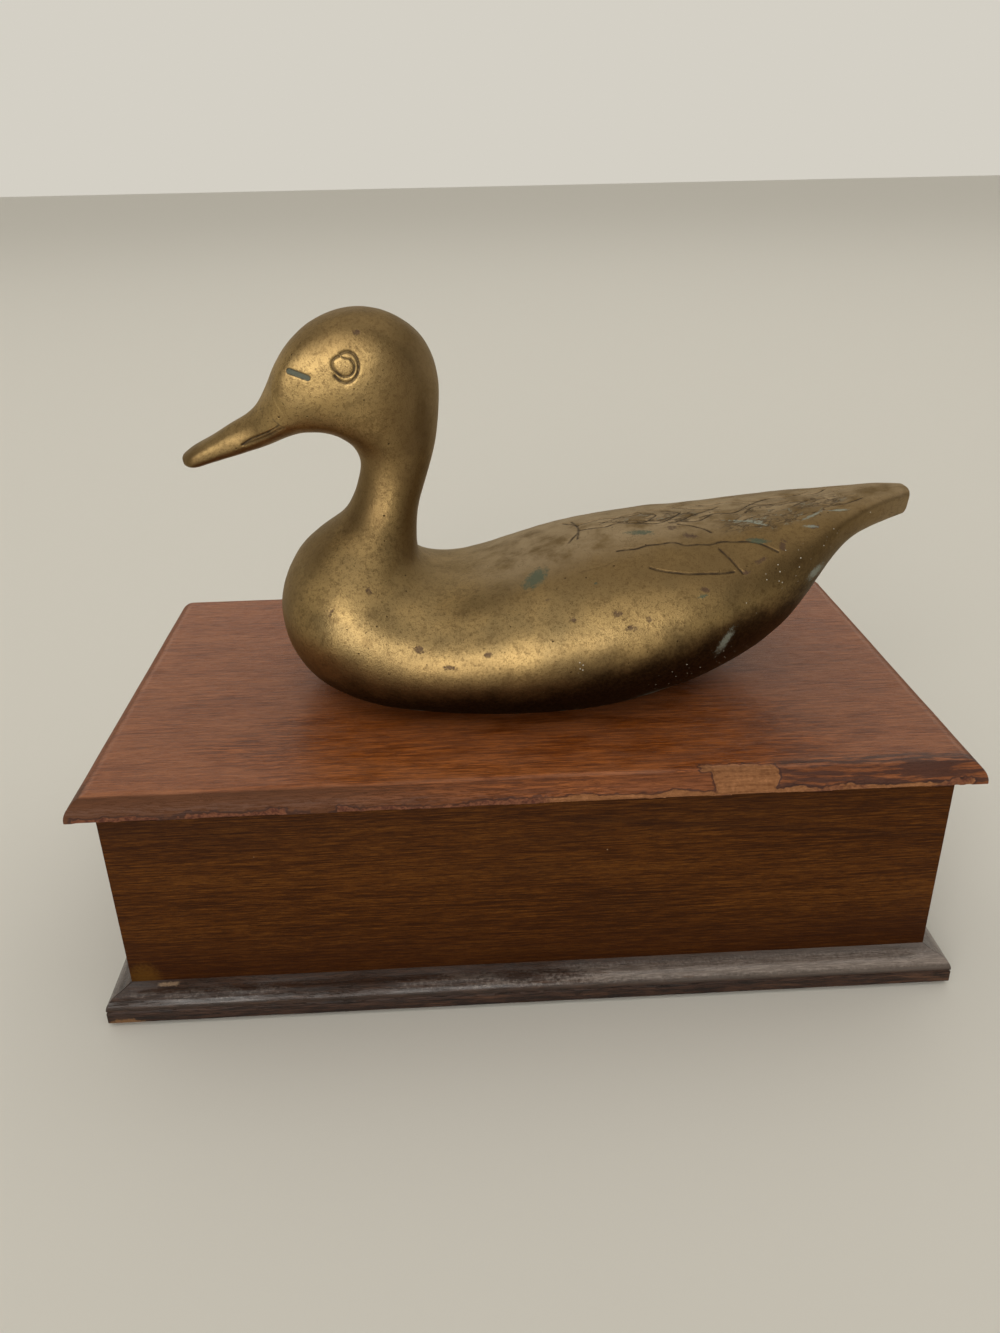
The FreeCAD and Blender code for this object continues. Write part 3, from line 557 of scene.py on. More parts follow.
lidLook = {
    "lip": 0.6,
    "eased": 0.25,
    "frontSteps": 440,
    "endSteps": 240,
    "backSteps": 80,
    "arcSteps": 14,
    "flatSteps": (0.5, 1.2, 2.2, 4.0),
    "unevenness": 0.07,
    "unevenCell": 14.0,
    "topMargin": 0.1,
    "crease": 35.0,
}

# How ragged the bare patches are, and the small chips all round the lip
wearLook = {
    "ragged": 0.85,
    "raggedCell": 2.3,
    "raggedShare": 1.1,
    "raggedGrain": (0.35, 1.0, 1.0),
    "frayedCell": 0.9,
    "frayedShare": 0.6,
    "soft": 0.5,
    "limit": 3.0,
    "chipCell": 4.7,
    "chipGrain": (0.45, 0.45, 1.0),
    "chipFineCell": 1.3,
    "chipFineShare": 0.35,
    "chipFrom": 0.62,
    "chipSteep": 3.0,
    "chipFade": 0.9,
    "chipDepth": 0.35,
}

# The blocks that make room for the hinge leaves: room beside the leaf, depth in the wood, and how far
# each block reaches past the wood
seatLook = {"clear": 0.1, "depth": 1.3, "past": 1.0}

# Bare wood on the front edge: from and to along the lid, from and to up the edge, depth
bareWood = {
    "scrape": (49.5, 67.0, -0.5, 9.4, 0.45),
    "scrapeHead": (46.5, 63.0, 7.6, 10.2, 0.2),
    "longStrip": (2.0, 52.0, -0.5, 1.9, 0.4),
    "leftStrip": (-52.0, 4.0, -0.5, 1.5, 0.3),
    "farLeftStrip": (-123.0, -60.0, -0.5, 1.2, 0.3),
    "rightStrip": (66.0, 121.0, -0.5, 1.7, 0.3),
    "leftNick": (-71.0, -66.5, -0.5, 2.1, 0.4),
    "endNick": (-116.0, -106.0, -0.5, 2.0, 0.35),
}


def lidProfile(look, height):
    # inset and height of the edge's levels: underside, eased foot, upright lip, quarter circle and the
    # top's border, and the way walked upwards from the foot
    radius = height - look["lip"]
    eased = look["eased"]
    turn = np.linspace(0.0, math.pi / 2, look["arcSteps"])
    flat = np.array(look["flatSteps"])
    inset = np.concatenate([[flat[-1], eased, 0.0], radius * (1.0 - np.cos(turn)), radius + flat])
    level = np.concatenate([[0.0, 0.0, eased], look["lip"] + radius * np.sin(turn), np.full(len(flat), height)])
    walked = np.concatenate([[0.0], np.cumsum(np.hypot(np.diff(inset), np.diff(level)))])
    return inset, level, walked - walked[1]


def hingeSeats(look, leaf, back, face, inwards):
    # a block for each hinge's leaf, from the face of the wood to its depth and out past the back
    foot, top = sorted((face - inwards * look["past"], face + inwards * look["depth"]))
    seats = []
    for side in ("left", "right"):
        low, high = boxOf(f"hinge_{side}_{leaf}")
        seats.append(brick((low[0] - look["clear"], low[1] - look["clear"], foot),
                           (high[0] + look["clear"], back + look["past"], top)))
    return seats


def wearAway(look, points, climbed, onFront):
    # signed distance into the bare patches, positive inside, with a ragged outline, and how deep they are
    ragged = look["raggedShare"] * cloud(points * np.array(look["raggedGrain"]), look["raggedCell"], 21)
    ragged = ragged + look["frayedShare"] * cloud(points, look["frayedCell"], 22)
    bare = np.full(len(points), -look["limit"])
    depth = np.zeros(len(points))
    for start, stop, low, high, deep in bareWood.values():
        inside = np.minimum(np.minimum(points[:, 0] - start, stop - points[:, 0]),
                            np.minimum(climbed - low, high - climbed))
        inside = np.where(onFront, inside + ragged * look["ragged"], -look["limit"])
        bare = np.maximum(bare, inside)
        depth = np.maximum(depth, deep * smooth(inside / look["soft"]))
    # small chips all round the lip, fewer away from the foot of the edge
    chips = cloud(points * np.array(look["chipGrain"]), look["chipCell"], 23)
    chips = chips + look["chipFineShare"] * cloud(points, look["chipFineCell"], 24)
    chipped = (chips - look["chipFrom"]) * look["chipSteep"] - look["chipFade"] * np.abs(climbed)
    bare = np.maximum(bare, np.clip(chipped, -look["limit"], 1.0))
    depth = np.maximum(depth, look["chipDepth"] * smooth(chipped))
    return np.clip(bare, -look["limit"], look["limit"]), depth


def makeLid(look):
    # rings of points round the lid: each level of the edge's outline, set in from the CAD board's four
    # sides, runs along the front, the right end, the back and the left end
    inset, level, walked = lidProfile(look, lidHigh[2] - lidLow[2])
    arcEnd = len(inset) - len(look["flatSteps"])
    # the back is square, so it runs straight up between two eased edges
    backInset = np.concatenate([[look["flatSteps"][-1], look["eased"]], np.zeros(arcEnd - 3),
                                [look["eased"]], look["flatSteps"]])
    left, right = lidLow[0] + inset, lidHigh[0] - inset
    front, back = lidLow[1] + inset, lidHigh[1] - backInset
    sweep = lambda count: np.linspace(0.0, 1.0, count, endpoint=False)[None, :]
    column = lambda values: values[:, None]
    spans = [
        (column(left) + column(right - left) * sweep(look["frontSteps"]), column(front), (0, -1)),
        (column(right), column(front) + column(back - front) * sweep(look["endSteps"]), (1, 0)),
        (column(right) - column(right - left) * sweep(look["backSteps"]), column(back), (0, 1)),
        (column(left), column(back) - column(back - front) * sweep(look["endSteps"]), (-1, 0)),
    ]
    parts = []
    outward = []
    for x, y, way in spans:
        x, y, z = np.broadcast_arrays(x, y, column(lidLow[2] + level))
        parts.append(np.stack([x, y, z], -1))
        outward.append(np.broadcast_to(np.array(way, float), x.shape + (2,)))
    grid = np.concatenate(parts, axis=1)
    way = np.concatenate(outward, axis=1)
    rings, around = grid.shape[:2]
    points = grid.reshape(-1, 3)
    climbed = np.repeat(walked, around)
    outwards = way.reshape(-1, 2)
    bare, depth = wearAway(wearLook, points, climbed, outwards[:, 1] < -0.5)
    # wear and unevenness push the edge inwards, square to its rounded face
    arc = walked[arcEnd - 1]
    tilt = np.clip((climbed - look["lip"]) / (arc - look["lip"]), 0.0, 1.0) * math.pi / 2
    uneven = look["unevenness"] * (1.0 + cloud(points, look["unevenCell"], 25))
    push = depth + uneven * ((climbed > 0) & (climbed < arc - look["topMargin"]))
    points = points.copy()
    points[:, :2] -= outwards * (push * np.cos(tilt))[:, None]
    points[:, 2] -= push * np.sin(tilt)
    lid = meshPiece("lidBoard", points, closedRings(rings, around), {"bare": bare}, look["crease"])
    cutAway(lid, hingeSeats(seatLook, "lid_leaf", lidHigh[1], lidLow[2], 1))
    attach(lid, "lid")
    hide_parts("lid_board")
    return lid


lid = makeLid(lidLook)
print("lid ready")


# Walls and base moulding: an outline carried along a side of the box, with mitred ends

sideTurns = {"front": (0, -1), "right": (1, 0), "back": (0, 1), "left": (-1, 0)}

wallLook = {
    "thickness": 8.0,
    "eased": 0.35,
    "steps": 160,
    "unevenness": 0.04,
    "unevenCell": 11.0,
    "drawnIn": 0.25,
    "crease": 35.0,
}
mouldLook = {
    "fascia": 3.9,
    "quirkWidth": 0.7,
    "quirkDepth": 0.4,
    "quirkAt": 0.45,
    "quirkRound": (0.25, 0.12),
    "beadRadius": 4.0,
    "beadSteps": 12,
    "stripSteps": 4,
    "eased": 0.3,
    "steps": 420,
    "unevenness": 0.05,
    "unevenCell": 11.0,
    "drawnIn": 0.15,
    "crease": 35.0,
}


def easedOutline(corners, eased):
    # each corner becomes three points, its middle one drawn in, so that edges look handled
    corners = np.array(corners, float)
    before = np.roll(corners, 1, axis=0) - corners
    after = np.roll(corners, -1, axis=0) - corners
    lengthBefore = np.linalg.norm(before, axis=1, keepdims=True)
    lengthAfter = np.linalg.norm(after, axis=1, keepdims=True)
    stepBefore = before / lengthBefore * np.minimum(eased, lengthBefore / 3)
    stepAfter = after / lengthAfter * np.minimum(eased, lengthAfter / 3)
    drawn = 0.3  # share of both steps that takes a square corner onto the curve
    middle = corners + (stepBefore + stepAfter) * drawn
    return np.stack([corners + stepBefore, middle, corners + stepAfter], 1).reshape(-1, 2)


def mitredPiece(look, name, outline, halfLength, distance, way, seed):
    # outline points are (reach outwards, height), and the ends run out by the reach, at 45 degrees
    rings, drawnIn = look["steps"] + 2, look["drawnIn"]
    share = np.concatenate([[-1.0], np.linspace(-1.0, 1.0, look["steps"]), [1.0]])
    # the ring at each end is drawn in, which eases the mitre's edge
    shrink = np.zeros(rings)
    shrink[0] = shrink[-1] = drawnIn
    toCentre = outline.mean(0) - outline
    toCentre = toCentre / np.maximum(np.linalg.norm(toCentre, axis=1, keepdims=True), 1e-6)
    reach = outline[None, :, 0] + toCentre[None, :, 0] * shrink[:, None]
    height = outline[None, :, 1] + toCentre[None, :, 1] * shrink[:, None]
    end = halfLength + outline[None, :, 0] - drawnIn * (shrink[:, None] == 0) * (np.abs(share[:, None]) == 1)
    along = share[:, None] * end
    across = np.array(way, float)
    sideways = np.array([-across[1], across[0]])
    flat = (distance + reach)[..., None] * across + along[..., None] * sideways
    points = np.concatenate([flat, height[..., None]], -1).reshape(-1, 3)
    outwards = np.concatenate([-toCentre[:, 0:1] * across, -toCentre[:, 1:2]], 1)
    uneven = look["unevenness"] * (1.0 + cloud(points, look["unevenCell"], seed))
    points = points - np.tile(outwards, (rings, 1)) * uneven[:, None]
    return meshPiece(name, points, closedRings(rings, len(outline)), crease=look["crease"])


def makeWalls(look):
    # an eased oblong carried along each side of the CAD walls
    walls = {}
    frontLow, frontHigh = boxOf("front_wall")
    sideHigh = boxOf("right_wall")[1]
    foot, top = frontLow[2], frontHigh[2]
    thick = look["thickness"]
    outline = easedOutline([(0, foot), (0, top), (-thick, top), (-thick, foot)], look["eased"])
    for number, (side, way) in enumerate(sideTurns.items()):
        half, distance = frontHigh[0], -frontLow[1]
        if side in ("left", "right"):
            half, distance = sideHigh[1], sideHigh[0]
        wall = mitredPiece(look, side + "Wall", outline, half, distance, way, 31 + number)
        if side == "back":
            cutAway(wall, hingeSeats(seatLook, "box_leaf", distance, top, -1))
        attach(wall, "box")
        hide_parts(side + "_wall")
        walls[side] = wall
    return walls


def mouldOutline(look, reach, foot, top):
    # fascia, groove, bead as a quarter circle, and the sloping strip up to the wall
    fascia = foot + look["fascia"]
    beadFoot = fascia + look["quirkWidth"]
    radius = look["beadRadius"]
    turn = np.linspace(0.0, math.pi / 2, look["beadSteps"])
    bead = np.stack([reach - radius + radius * np.cos(turn), beadFoot + radius * np.sin(turn)], -1)
    strip = np.linspace(bead[-1], (0.0, top), look["stripSteps"])[1:]
    down, inwards = look["quirkRound"]
    groove = np.array([(reach, fascia - down), (reach - inwards, fascia),
                       (reach - look["quirkDepth"], fascia + look["quirkWidth"] * look["quirkAt"])])
    edge = np.array([(0.0, foot), (reach - look["eased"], foot), (reach, foot + look["eased"])])
    return np.concatenate([edge, groove, bead, strip])


def makeMouldings(look):
    # the moulding's outline carried along each side, outwards from the CAD walls
    pieces = {}
    frontLow, frontHigh = boxOf("base_moulding_front")
    wallFront = -boxOf("front_wall")[0][1]
    wallSide = boxOf("right_wall")[1][0]
    reach = -frontLow[1] - wallFront
    outline = mouldOutline(look, reach, frontLow[2], frontHigh[2])
    for number, (side, way) in enumerate(sideTurns.items()):
        half, distance = (wallSide, wallFront) if side in ("front", "back") else (wallFront, wallSide)
        piece = mitredPiece(look, side + "Moulding", outline, half, distance, way, 41 + number)
        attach(piece, "box")
        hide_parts("base_moulding_" + side)
        pieces[side] = piece
    return pieces


walls = makeWalls(wallLook)
mouldings = makeMouldings(mouldLook)
print("box ready")


# Felt: linings, lid lining and feet

feltLook = {
    "cell": 2.5,
    "rimSteps": (0.0, 0.25, 0.6),
    "rimWidth": 1.2,
    "edge": 0.8,
    "rimShare": 0.45,
    "softness": 0.12,
    "softCell": 6.0,
    "inset": 0.05,
    "crease": 70.0,
    "washerRoom": 0.2,
    "washerPast": 3.0,
}


def sheetSteps(look, length):
    # places across a sheet, crowded at both rims
    rim = np.array(look["rimSteps"])
    middle = np.linspace(look["rimWidth"], length - look["rimWidth"], max(12, int(length / look["cell"])))
    return np.concatenate([rim, middle, (length - rim)[::-1]])


def feltSheet(look, name, node, inwards, body, seed):
    # a slab on its node's box whose free face rounds off at the rim and rises and falls a little
    low, high = boxOf(node)
    thin = int(np.argmax(np.abs(inwards)))
    wide, tall = [axis for axis in range(3) if axis != thin]
    edges = [sheetSteps(look, high[axis] - low[axis]) for axis in (wide, tall)]
    first, second = np.meshgrid(*edges, indexing="ij")
    border = np.minimum(np.minimum(first, edges[0][-1] - first), np.minimum(second, edges[1][-1] - second))
    flatPoints = np.stack([first, second, np.zeros_like(first)], -1)
    full = look["rimShare"] + (1.0 - look["rimShare"]) * blunt(border / look["edge"])
    rise = (high[thin] - low[thin]) * full
    rise = rise - look["softness"] * (0.5 + 0.5 * cloud(flatPoints, look["softCell"], seed)) - look["inset"]
    base = low[thin] if inwards[thin] > 0 else high[thin]
    sign = 1.0 if inwards[thin] > 0 else -1.0
    sheets = []
    for height in (rise, np.zeros_like(rise)):
        sheet = np.zeros(first.shape + (3,))
        sheet[..., wide] = low[wide] + first
        sheet[..., tall] = low[tall] + second
        sheet[..., thin] = base + sign * height
        sheets.append(sheet.reshape(-1, 3))
    rows, columns = first.shape
    index = np.arange(rows * columns).reshape(rows, columns)
    quads = np.stack([index[:-1, :-1], index[1:, :-1], index[1:, 1:], index[:-1, 1:]], -1).reshape(-1, 4)
    rim = np.concatenate([index[:-1, 0], index[-1, :-1], index[:0:-1, -1], index[0, :0:-1]])
    following = np.roll(rim, -1)
    sides = np.stack([rim, following, following + rows * columns, rim + rows * columns], -1)
    faces = np.concatenate([quads, quads + rows * columns, sides]).tolist()
    piece = meshPiece(name, np.concatenate(sheets), faces, crease=look["crease"])
    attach(piece, body)
    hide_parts(node)
    return piece, tuple(float(edge[-1]) * metre for edge in edges)


def makeFelt(look):
    # one sheet for each lining in the CAD model: which way it faces, what it moves with and lies on
    plans = [
        ("feltFloor", "lining_floor", (0, 0, 1), "box", "laid", ["bottom_board"]),
        ("feltFront", "lining_front", (0, 1, 0), "box", "stretched", ["frontWall"]),
        ("feltBack", "lining_back", (0, -1, 0), "box", "stretched", ["backWall"]),
        ("feltLeft", "lining_left", (1, 0, 0), "box", "stretched", ["leftWall"]),
        ("feltRight", "lining_right", (-1, 0, 0), "box", "stretched", ["rightWall"]),
        ("feltUnderLid", "lid_lining", (0, 0, -1), "lid", "stretched", ["lidBoard"]),
    ]
    made = []
    for number, (name, node, inwards, body, held, restsOn) in enumerate(plans):
        piece, flatSize = feltSheet(look, name, node, inwards, body, 51 + number)
        if node == "lid_lining":
            # round holes for the washers
            low, high = boxOf("duck_washers")
            radius = (high[1] - low[1]) / 2
            wide = radius + look["washerRoom"]
            foot, top = low[2] - look["washerPast"], high[2] + look["washerPast"]
            ends = (low[0] + radius, high[0] - radius)
            cutAway(piece, [drum((x, 0.0), wide, foot, top) for x in ends], look["crease"])
        made.append(piece)
    return made


# Each ring of a pad is the share of its height and the share of its radius
feetLook = {
    "radius": 5.0,
    "sides": 64,
    "rings": [(0.0, 0.25), (0.0, 0.94), (0.25, 0.985), (0.5, 1.0), (0.8, 0.985), (1.0, 0.93), (1.0, 0.25)],
    "crease": 60.0,
}


def makeFeet(look):
    # four round pads whose rim bulges a little between the two flat faces
    low, high = boxOf("felt_feet")
    radius, sides, rings = look["radius"], look["sides"], look["rings"]
    height = high[2] - low[2]
    turn = np.arange(sides) * math.tau / sides
    points = []
    faces = []
    for x in (low[0] + radius, high[0] - radius):
        for y in (low[1] + radius, high[1] - radius):
            start = len(points) * sides
            for level, share in rings:
                around = radius * share
                points.append(np.stack([x + around * np.cos(turn), y + around * np.sin(turn),
                                        np.full(sides, low[2] + level * height)], -1))
            faces += closedRings(len(rings), sides, start)
    feet = meshPiece("feltFeet", np.concatenate(points), faces, crease=look["crease"])
    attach(feet, "box")
    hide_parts("felt_feet")
    return feet


felts = makeFelt(feltLook)
feet = makeFeet(feetLook)
print("felt ready")


# Materials

class Tap:
    # one output of a node, with sums and products that add Math nodes
    def __init__(self, graph, socket):
        self.graph = graph
        self.socket = socket

    def maths(self, operation, *others):
        return self.graph.node("ShaderNodeMath", {"operation": operation}, dict(enumerate((self,) + others)))

    def __add__(self, other):
        return self.maths("ADD", other)

    def __sub__(self, other):
        return self.maths("SUBTRACT", other)

    def __mul__(self, other):
        return self.maths("MULTIPLY", other)

    def __truediv__(self, other):
        return self.maths("DIVIDE", other)

    def __radd__(self, other):
        return self.maths("ADD", other)

    def __rsub__(self, other):
        return self.graph.node("ShaderNodeMath", {"operation": "SUBTRACT"}, {0: other, 1: self})

    def __rmul__(self, other):
        return self.maths("MULTIPLY", other)

    def __abs__(self):
        return self.maths("ABSOLUTE")

    def most(self, *others):
        # the largest of several values
        result = self
        for other in others:
            result = result.maths("MAXIMUM", other)
        return result

    def between(self, low, high):
        # 0 below low, 1 above high, smooth between
        return self.graph.node("ShaderNodeMapRange", {"interpolation_type": "SMOOTHSTEP"},
                               {"Value": self, "From Min": low, "From Max": high})


class Graph:
    # the nodes of a material or a world
    def __init__(self, tree):
        self.tree = tree

    def feed(self, socket, item):
        if isinstance(item, Tap):
            self.tree.links.new(item.socket, socket)
        else:
            socket.default_value = item

    def node(self, kind, settings=None, inputs=None, output=0):
        # a node of that type, its settings first and then the values or links of its sockets
        made = self.tree.nodes.new(kind)
        for name, setting in (settings or {}).items():
            setattr(made, name, setting)
        for place, item in (inputs or {}).items():
            self.feed(made.inputs[place], item)
        return Tap(self, made.outputs[output])

    def axes(self, where):
        return [self.node("ShaderNodeSeparateXYZ", inputs={0: where}, output=axis) for axis in range(3)]

    def colours(self, factor, first, second):
        # the first colour where the factor is 0, the second where it is 1
        asColour = lambda item: item if isinstance(item, Tap) else (*item, 1.0)
        # sockets 6, 7 and 2 of the Mix node are its two colours and their mix
        return self.node("ShaderNodeMix", {"data_type": "RGBA"},
                         {0: factor, 6: asColour(first), 7: asColour(second)}, output=2)


class Finish(Graph):
    # a material on the Principled shader
    def __init__(self, name):
        self.material = bpy.data.materials.new(name)
        self.material.use_nodes = True
        super().__init__(self.material.node_tree)
        self.shader = self.tree.nodes["Principled BSDF"]

    def place(self, stretch=(1.0, 1.0, 1.0), turn=0.0):
        # object coordinates in millimetres, turned about the upright and stretched
        raw = self.node("ShaderNodeTexCoord", output="Object")
        turned = self.node("ShaderNodeMapping", inputs={
            "Vector": raw, "Rotation": (0.0, 0.0, math.radians(turn)), "Scale": (1.0 / metre,) * 3})
        return self.node("ShaderNodeVectorMath", {"operation": "MULTIPLY"}, {0: turned, 1: stretch})

    def noise(self, where, scale, detail=3.0, roughness=0.5):
        return self.node("ShaderNodeTexNoise", inputs={"Vector": where, "Scale": scale, "Detail": detail,
                                                       "Roughness": roughness})

    def streaks(self, stretch, turn=0.0, detail=3.0, roughness=0.5):
        # noise drawn out along the piece: the less the first number, the longer the streaks
        return self.noise(self.place(stretch, turn), 1.0, detail, roughness)

    def cells(self, where, scale, output="Distance"):
        return self.node("ShaderNodeTexVoronoi", inputs={"Vector": where, "Scale": scale}, output=output)

    def chance(self, where, scale):
        # one random number for each cell
        return self.node("ShaderNodeSeparateColor", inputs={0: self.cells(where, scale, "Color")})

    def mark(self, name):
        # a mark of the mesh, as a number for each vertex
        return self.node("ShaderNodeAttribute", {"attribute_name": name}, output="Fac")

    def shades(self, tone, deep, mid, pale, edges):
        # three colours along a tone
        dark = self.colours(tone.between(edges[0], edges[1]), deep, mid)
        return self.colours(tone.between(edges[1], edges[2]), dark, pale)

    def bump(self, height, strength, distance):
        return self.node("ShaderNodeBump", inputs={"Height": height, "Strength": strength,
                                                   "Distance": distance * metre})

    def dress(self, *pieces, **inputs):
        # sets the shader's sockets, an underscore for each space in their names, and gives pieces the material
        for name, item in inputs.items():
            self.feed(self.shader.inputs[name.replace("_", " ")], item)
        for piece in pieces:
            piece.data.materials.clear()
            piece.data.materials.append(self.material)


brassLook = {
    "bright": (0.49, 0.335, 0.138),
    "gold": (0.385, 0.262, 0.108),
    "olive": (0.275, 0.192, 0.084),
    "grey": (0.440, 0.337, 0.210),
    "brown": (0.128, 0.078, 0.032),
    "sootAndShade": (0.030, 0.017, 0.008),
    "green": (0.050, 0.080, 0.052),
    "slate": (0.075, 0.100, 0.085),
    "pale": (0.27, 0.30, 0.25),
    "plum": (0.074, 0.040, 0.027),
    "white": (0.72, 0.70, 0.60),
    "sheen": (0.86, 0.80, 0.70),
    "roughness": 0.30,
    "bump": 0.65,
}

# How strongly each part of the duck is darkened: painted shade on the body, neck, head and tail, a darker
# breast, and tarnish on the bill
shadeAndTarnishShare = {
    "low": 0.9,
    "lowerFlankShade": 0.68,
    "neckFront": 0.72,
    "neckBack": 0.85,
    "nape": 0.88,
    "throat": 0.75,
    "breast": 0.85,
    "tail": 0.95,
    "crown": 0.65,
    "bill": 0.45,
    "tip": 0.85,
}


def shadeAndTarnishZones(x, up, ragged):
    # 1 inside each zone and 0 outside, by place along the duck and height above the lid, with ragged borders
    behind = x.maths("MAXIMUM", 0.0)
    lean = x + 46.5 + (66.0 - up).maths("MAXIMUM", 0.0) * 0.72 + ragged * 5.0
    return {
        # painted shade and a painted reflection of the dark lid, low on the body
        "low": 1.0 - (up + ragged * 15.0 - behind * 0.30).between(5.0, 17.0),
        # painted shade on the lower flank, below the lit band
        "lowerFlankShade": 1.0 - (up + ragged * 10.0 - behind * 0.16).between(14.0, 25.0),
        # painted shade on the front of the neck
        "neckFront": (1.0 - lean.between(1.5, 7.0)) * up.between(36.0, 46.0) * (1.0 - up.between(70.0, 80.0)),
        # painted shade on the back of the neck and on the nape, which face away from the light
        "neckBack": (x + ragged * 8.0).between(-42.0, -31.0) * up.between(30.0, 44.0)
                    * (1.0 - up.between(68.0, 84.0)),
        "nape": (x + ragged * 12.0).between(-47.0, -29.0) * (up + ragged * 8.0).between(62.0, 78.0),
        # painted shade under the jaw
        "throat": (1.0 - (abs(x + 50.0) + ragged * 8.0).between(6.0, 22.0))
                  * (1.0 - (abs(up - 68.0) + ragged * 10.0).between(11.0, 21.0)),
        # a darker breast
        "breast": (1.0 - (x + ragged * 9.0).between(-74.0, -57.0)) * (1.0 - up.between(50.0, 66.0)),
        # painted shade on the lower tail
        "tail": (x + ragged * 24.0).between(64.0, 92.0)
                * (1.0 - (up + ragged * 6.0 - x * 0.12).between(22.0, 42.0)),
        # painted shade on the crown
        "crown": (up - 101.0 + ragged * 6.0).between(0.0, 7.0),
        # tarnish on the bill, darker still at its tip
        "bill": 1.0 - (x + ragged * 4.0).between(-75.5, -71.0),
        "tip": 1.0 - x.between(-94.0, -88.0),
    }


def castBrass(look):
    # brass colours by broad and fine noise, then a painted highlight, films, dirt, painted shade and residue
    # laid over each other
    finish = Finish("agedCastBrass")
    where = finish.place()
    x, y, z = finish.axes(where)
    up = z - lidTop
    broad = finish.noise(where, 0.022, 4.0, 0.55)
    patch = finish.noise(where, 0.085, 5.0, 0.62)
    cloudy = finish.noise(where, 0.30, 4.0, 0.65)
    speckle = finish.noise(where, 0.9, 4.0, 0.75)
    grit = finish.noise(where, 2.6, 2.0, 0.6)
    ragged = patch - 0.5
    dusty = speckle - 0.5
    colour = finish.colours((broad * 0.5 + patch * 0.5).between(0.38, 0.62), look["olive"], look["gold"])
    # painted highlight: the brass is lighter where the light catches it
    paintedHighlight = (finish.mark("paintedHighlight") + ragged * 0.5).between(0.2, 0.8)
    colour = finish.colours(paintedHighlight * 0.70, colour, look["bright"])
    # brown film in ragged islands, then fine dark grains
    colour = finish.colours(cloudy.between(0.55, 0.62) * 0.32, colour, look["brown"])
    colour = finish.colours(speckle.between(0.50, 0.64) * 0.50, colour, look["brown"])
    colour = finish.colours(grit.between(0.58, 0.70) * 0.60, colour, look["sootAndShade"])
    # painted shade where the duck turns away from the light or towards the dark lid, and tarnish on the bill
    zones = shadeAndTarnishZones(x, up, ragged)
    shares = [zones[name] * share for name, share in shadeAndTarnishShare.items()]
    shadeAndTarnish = shares[0].most(*shares[1:])
    colour = finish.colours(shadeAndTarnish * 0.85, colour, look["brown"])
    # painted shade and a painted reflection of the dark lid, blackest low on the body and under the tail
    paintedLowShade = zones["low"].most(zones["tail"])
    colour = finish.colours(paintedLowShade * (speckle.between(0.36, 0.60) * 0.26 + 0.70), colour, look["sootAndShade"])
    # the feathered back is duller and greyer: grey patina and a painted sheen of the pale wall, seen at a
    # grazing angle
    spine = 1.0 - (abs(y) + x.maths("MAXIMUM", 0.0) * 0.12 + ragged * 14.0).between(14.0, 30.0)
    back = spine * up.between(32.0, 40.0) * x.between(-36.0, 0.0)
    colour = finish.colours(back * patch.between(0.30, 0.6) * 0.7, colour, look["grey"])
    # stains dry with a thin dark outline
    outline = (1.0 - abs(patch - 0.565).between(0.003, 0.014)) * broad.between(0.46, 0.58)
    colour = finish.colours(outline * 0.35, colour, look["brown"])
    # small pits, one cell in three, of uneven size
    chance = finish.chance(where, 0.36)
    pitSize = chance.between(0.3, 1.0) * 0.13 + 0.004
    pit = (1.0 - (finish.cells(where, 0.36) / pitSize).between(0.5, 1.0)) * chance.between(0.55, 0.66)
    colour = finish.colours(pit * 0.75, colour, look["sootAndShade"])
    # between the feather lines the tail is ruffled, with dirt in the hollows and residue beside it
    wavy = finish.streaks((0.11, 0.34, 0.34), -12.0, 4.0, 0.6)
    ruffle = finish.mark("ruffle").between(0.25, 0.7)
    ruffled = (1.0 - abs(wavy - 0.5).between(0.006, 0.045)) * ruffle
    colour = finish.colours(ruffle * (wavy + dusty * 0.4).between(0.44, 0.54) * 0.42, colour, look["brown"])
    filled = finish.mark("groove").between(0.24, 0.75) * (cloudy.between(0.36, 0.58) * 0.45 + 0.55)
    filled = filled.most(ruffled * 0.72 * cloudy.between(0.36, 0.54))
    colour = finish.colours(filled * 0.9, colour, look["sootAndShade"])
    # the filled scratch, green and dark spots, pale residue and white specks
    scratch = finish.mark("scratch")
    colour = finish.colours(scratch * 0.9, colour, look["slate"])
    green = (finish.mark("green") + ragged * 0.8 + dusty * 1.4).between(0.40, 0.90)
    colour = finish.colours(green * 0.8, colour, look["green"])
    dark = (finish.mark("dark") * 1.12 + dusty * 1.8 + (cloudy - 0.5) * 0.8).between(0.45, 0.95)
    colour = finish.colours(dark * 0.72, colour, look["plum"])
    foot = (1.0 - up.between(0.2, 1.1)) * finish.noise(where, 0.12, 3.0, 0.6).between(0.52, 0.66) * 0.6
    residue = wavy.between(0.52, 0.56) * (1.0 - wavy.between(0.58, 0.62)) * ruffle * cloudy.between(0.46, 0.58)
    pale = finish.mark("pale") * 1.1 + residue * 0.7 + dusty * 1.4 + (grit - 0.5) * 0.8
    pale = (pale.between(0.38, 0.95) * 0.7).most(foot)
    colour = finish.colours(pale, colour, look["pale"])
    grain = 1.0 - finish.cells(where, 0.75).between(0.09, 0.19)
    white = grain * finish.chance(where, 0.75).between(0.45, 0.5) * finish.mark("specks").between(0.3, 0.6)
    colour = finish.colours(white * 0.7, colour, look["white"])
    crust = (green * 0.75).most(pale * 0.9, white, filled * 0.6, dark * 0.4, scratch * 0.95)
    rough = look["roughness"] + speckle * 0.16 + broad * 0.08 + shadeAndTarnish * 0.08 + crust * 0.3
    height = (grit * 0.5 + speckle * 1.1 + cloudy * 0.7 - ruffled * 1.6 + wavy * ruffle * 4.0
              - pit * 1.8 - dark + crust * 0.5)
    finish.dress(duck, Base_Color=colour, Metallic=1.0 - crust * 0.85, Roughness=rough,
                 Normal=finish.bump(height, look["bump"], 0.12), Specular_Tint=(*look["sheen"], 1.0))


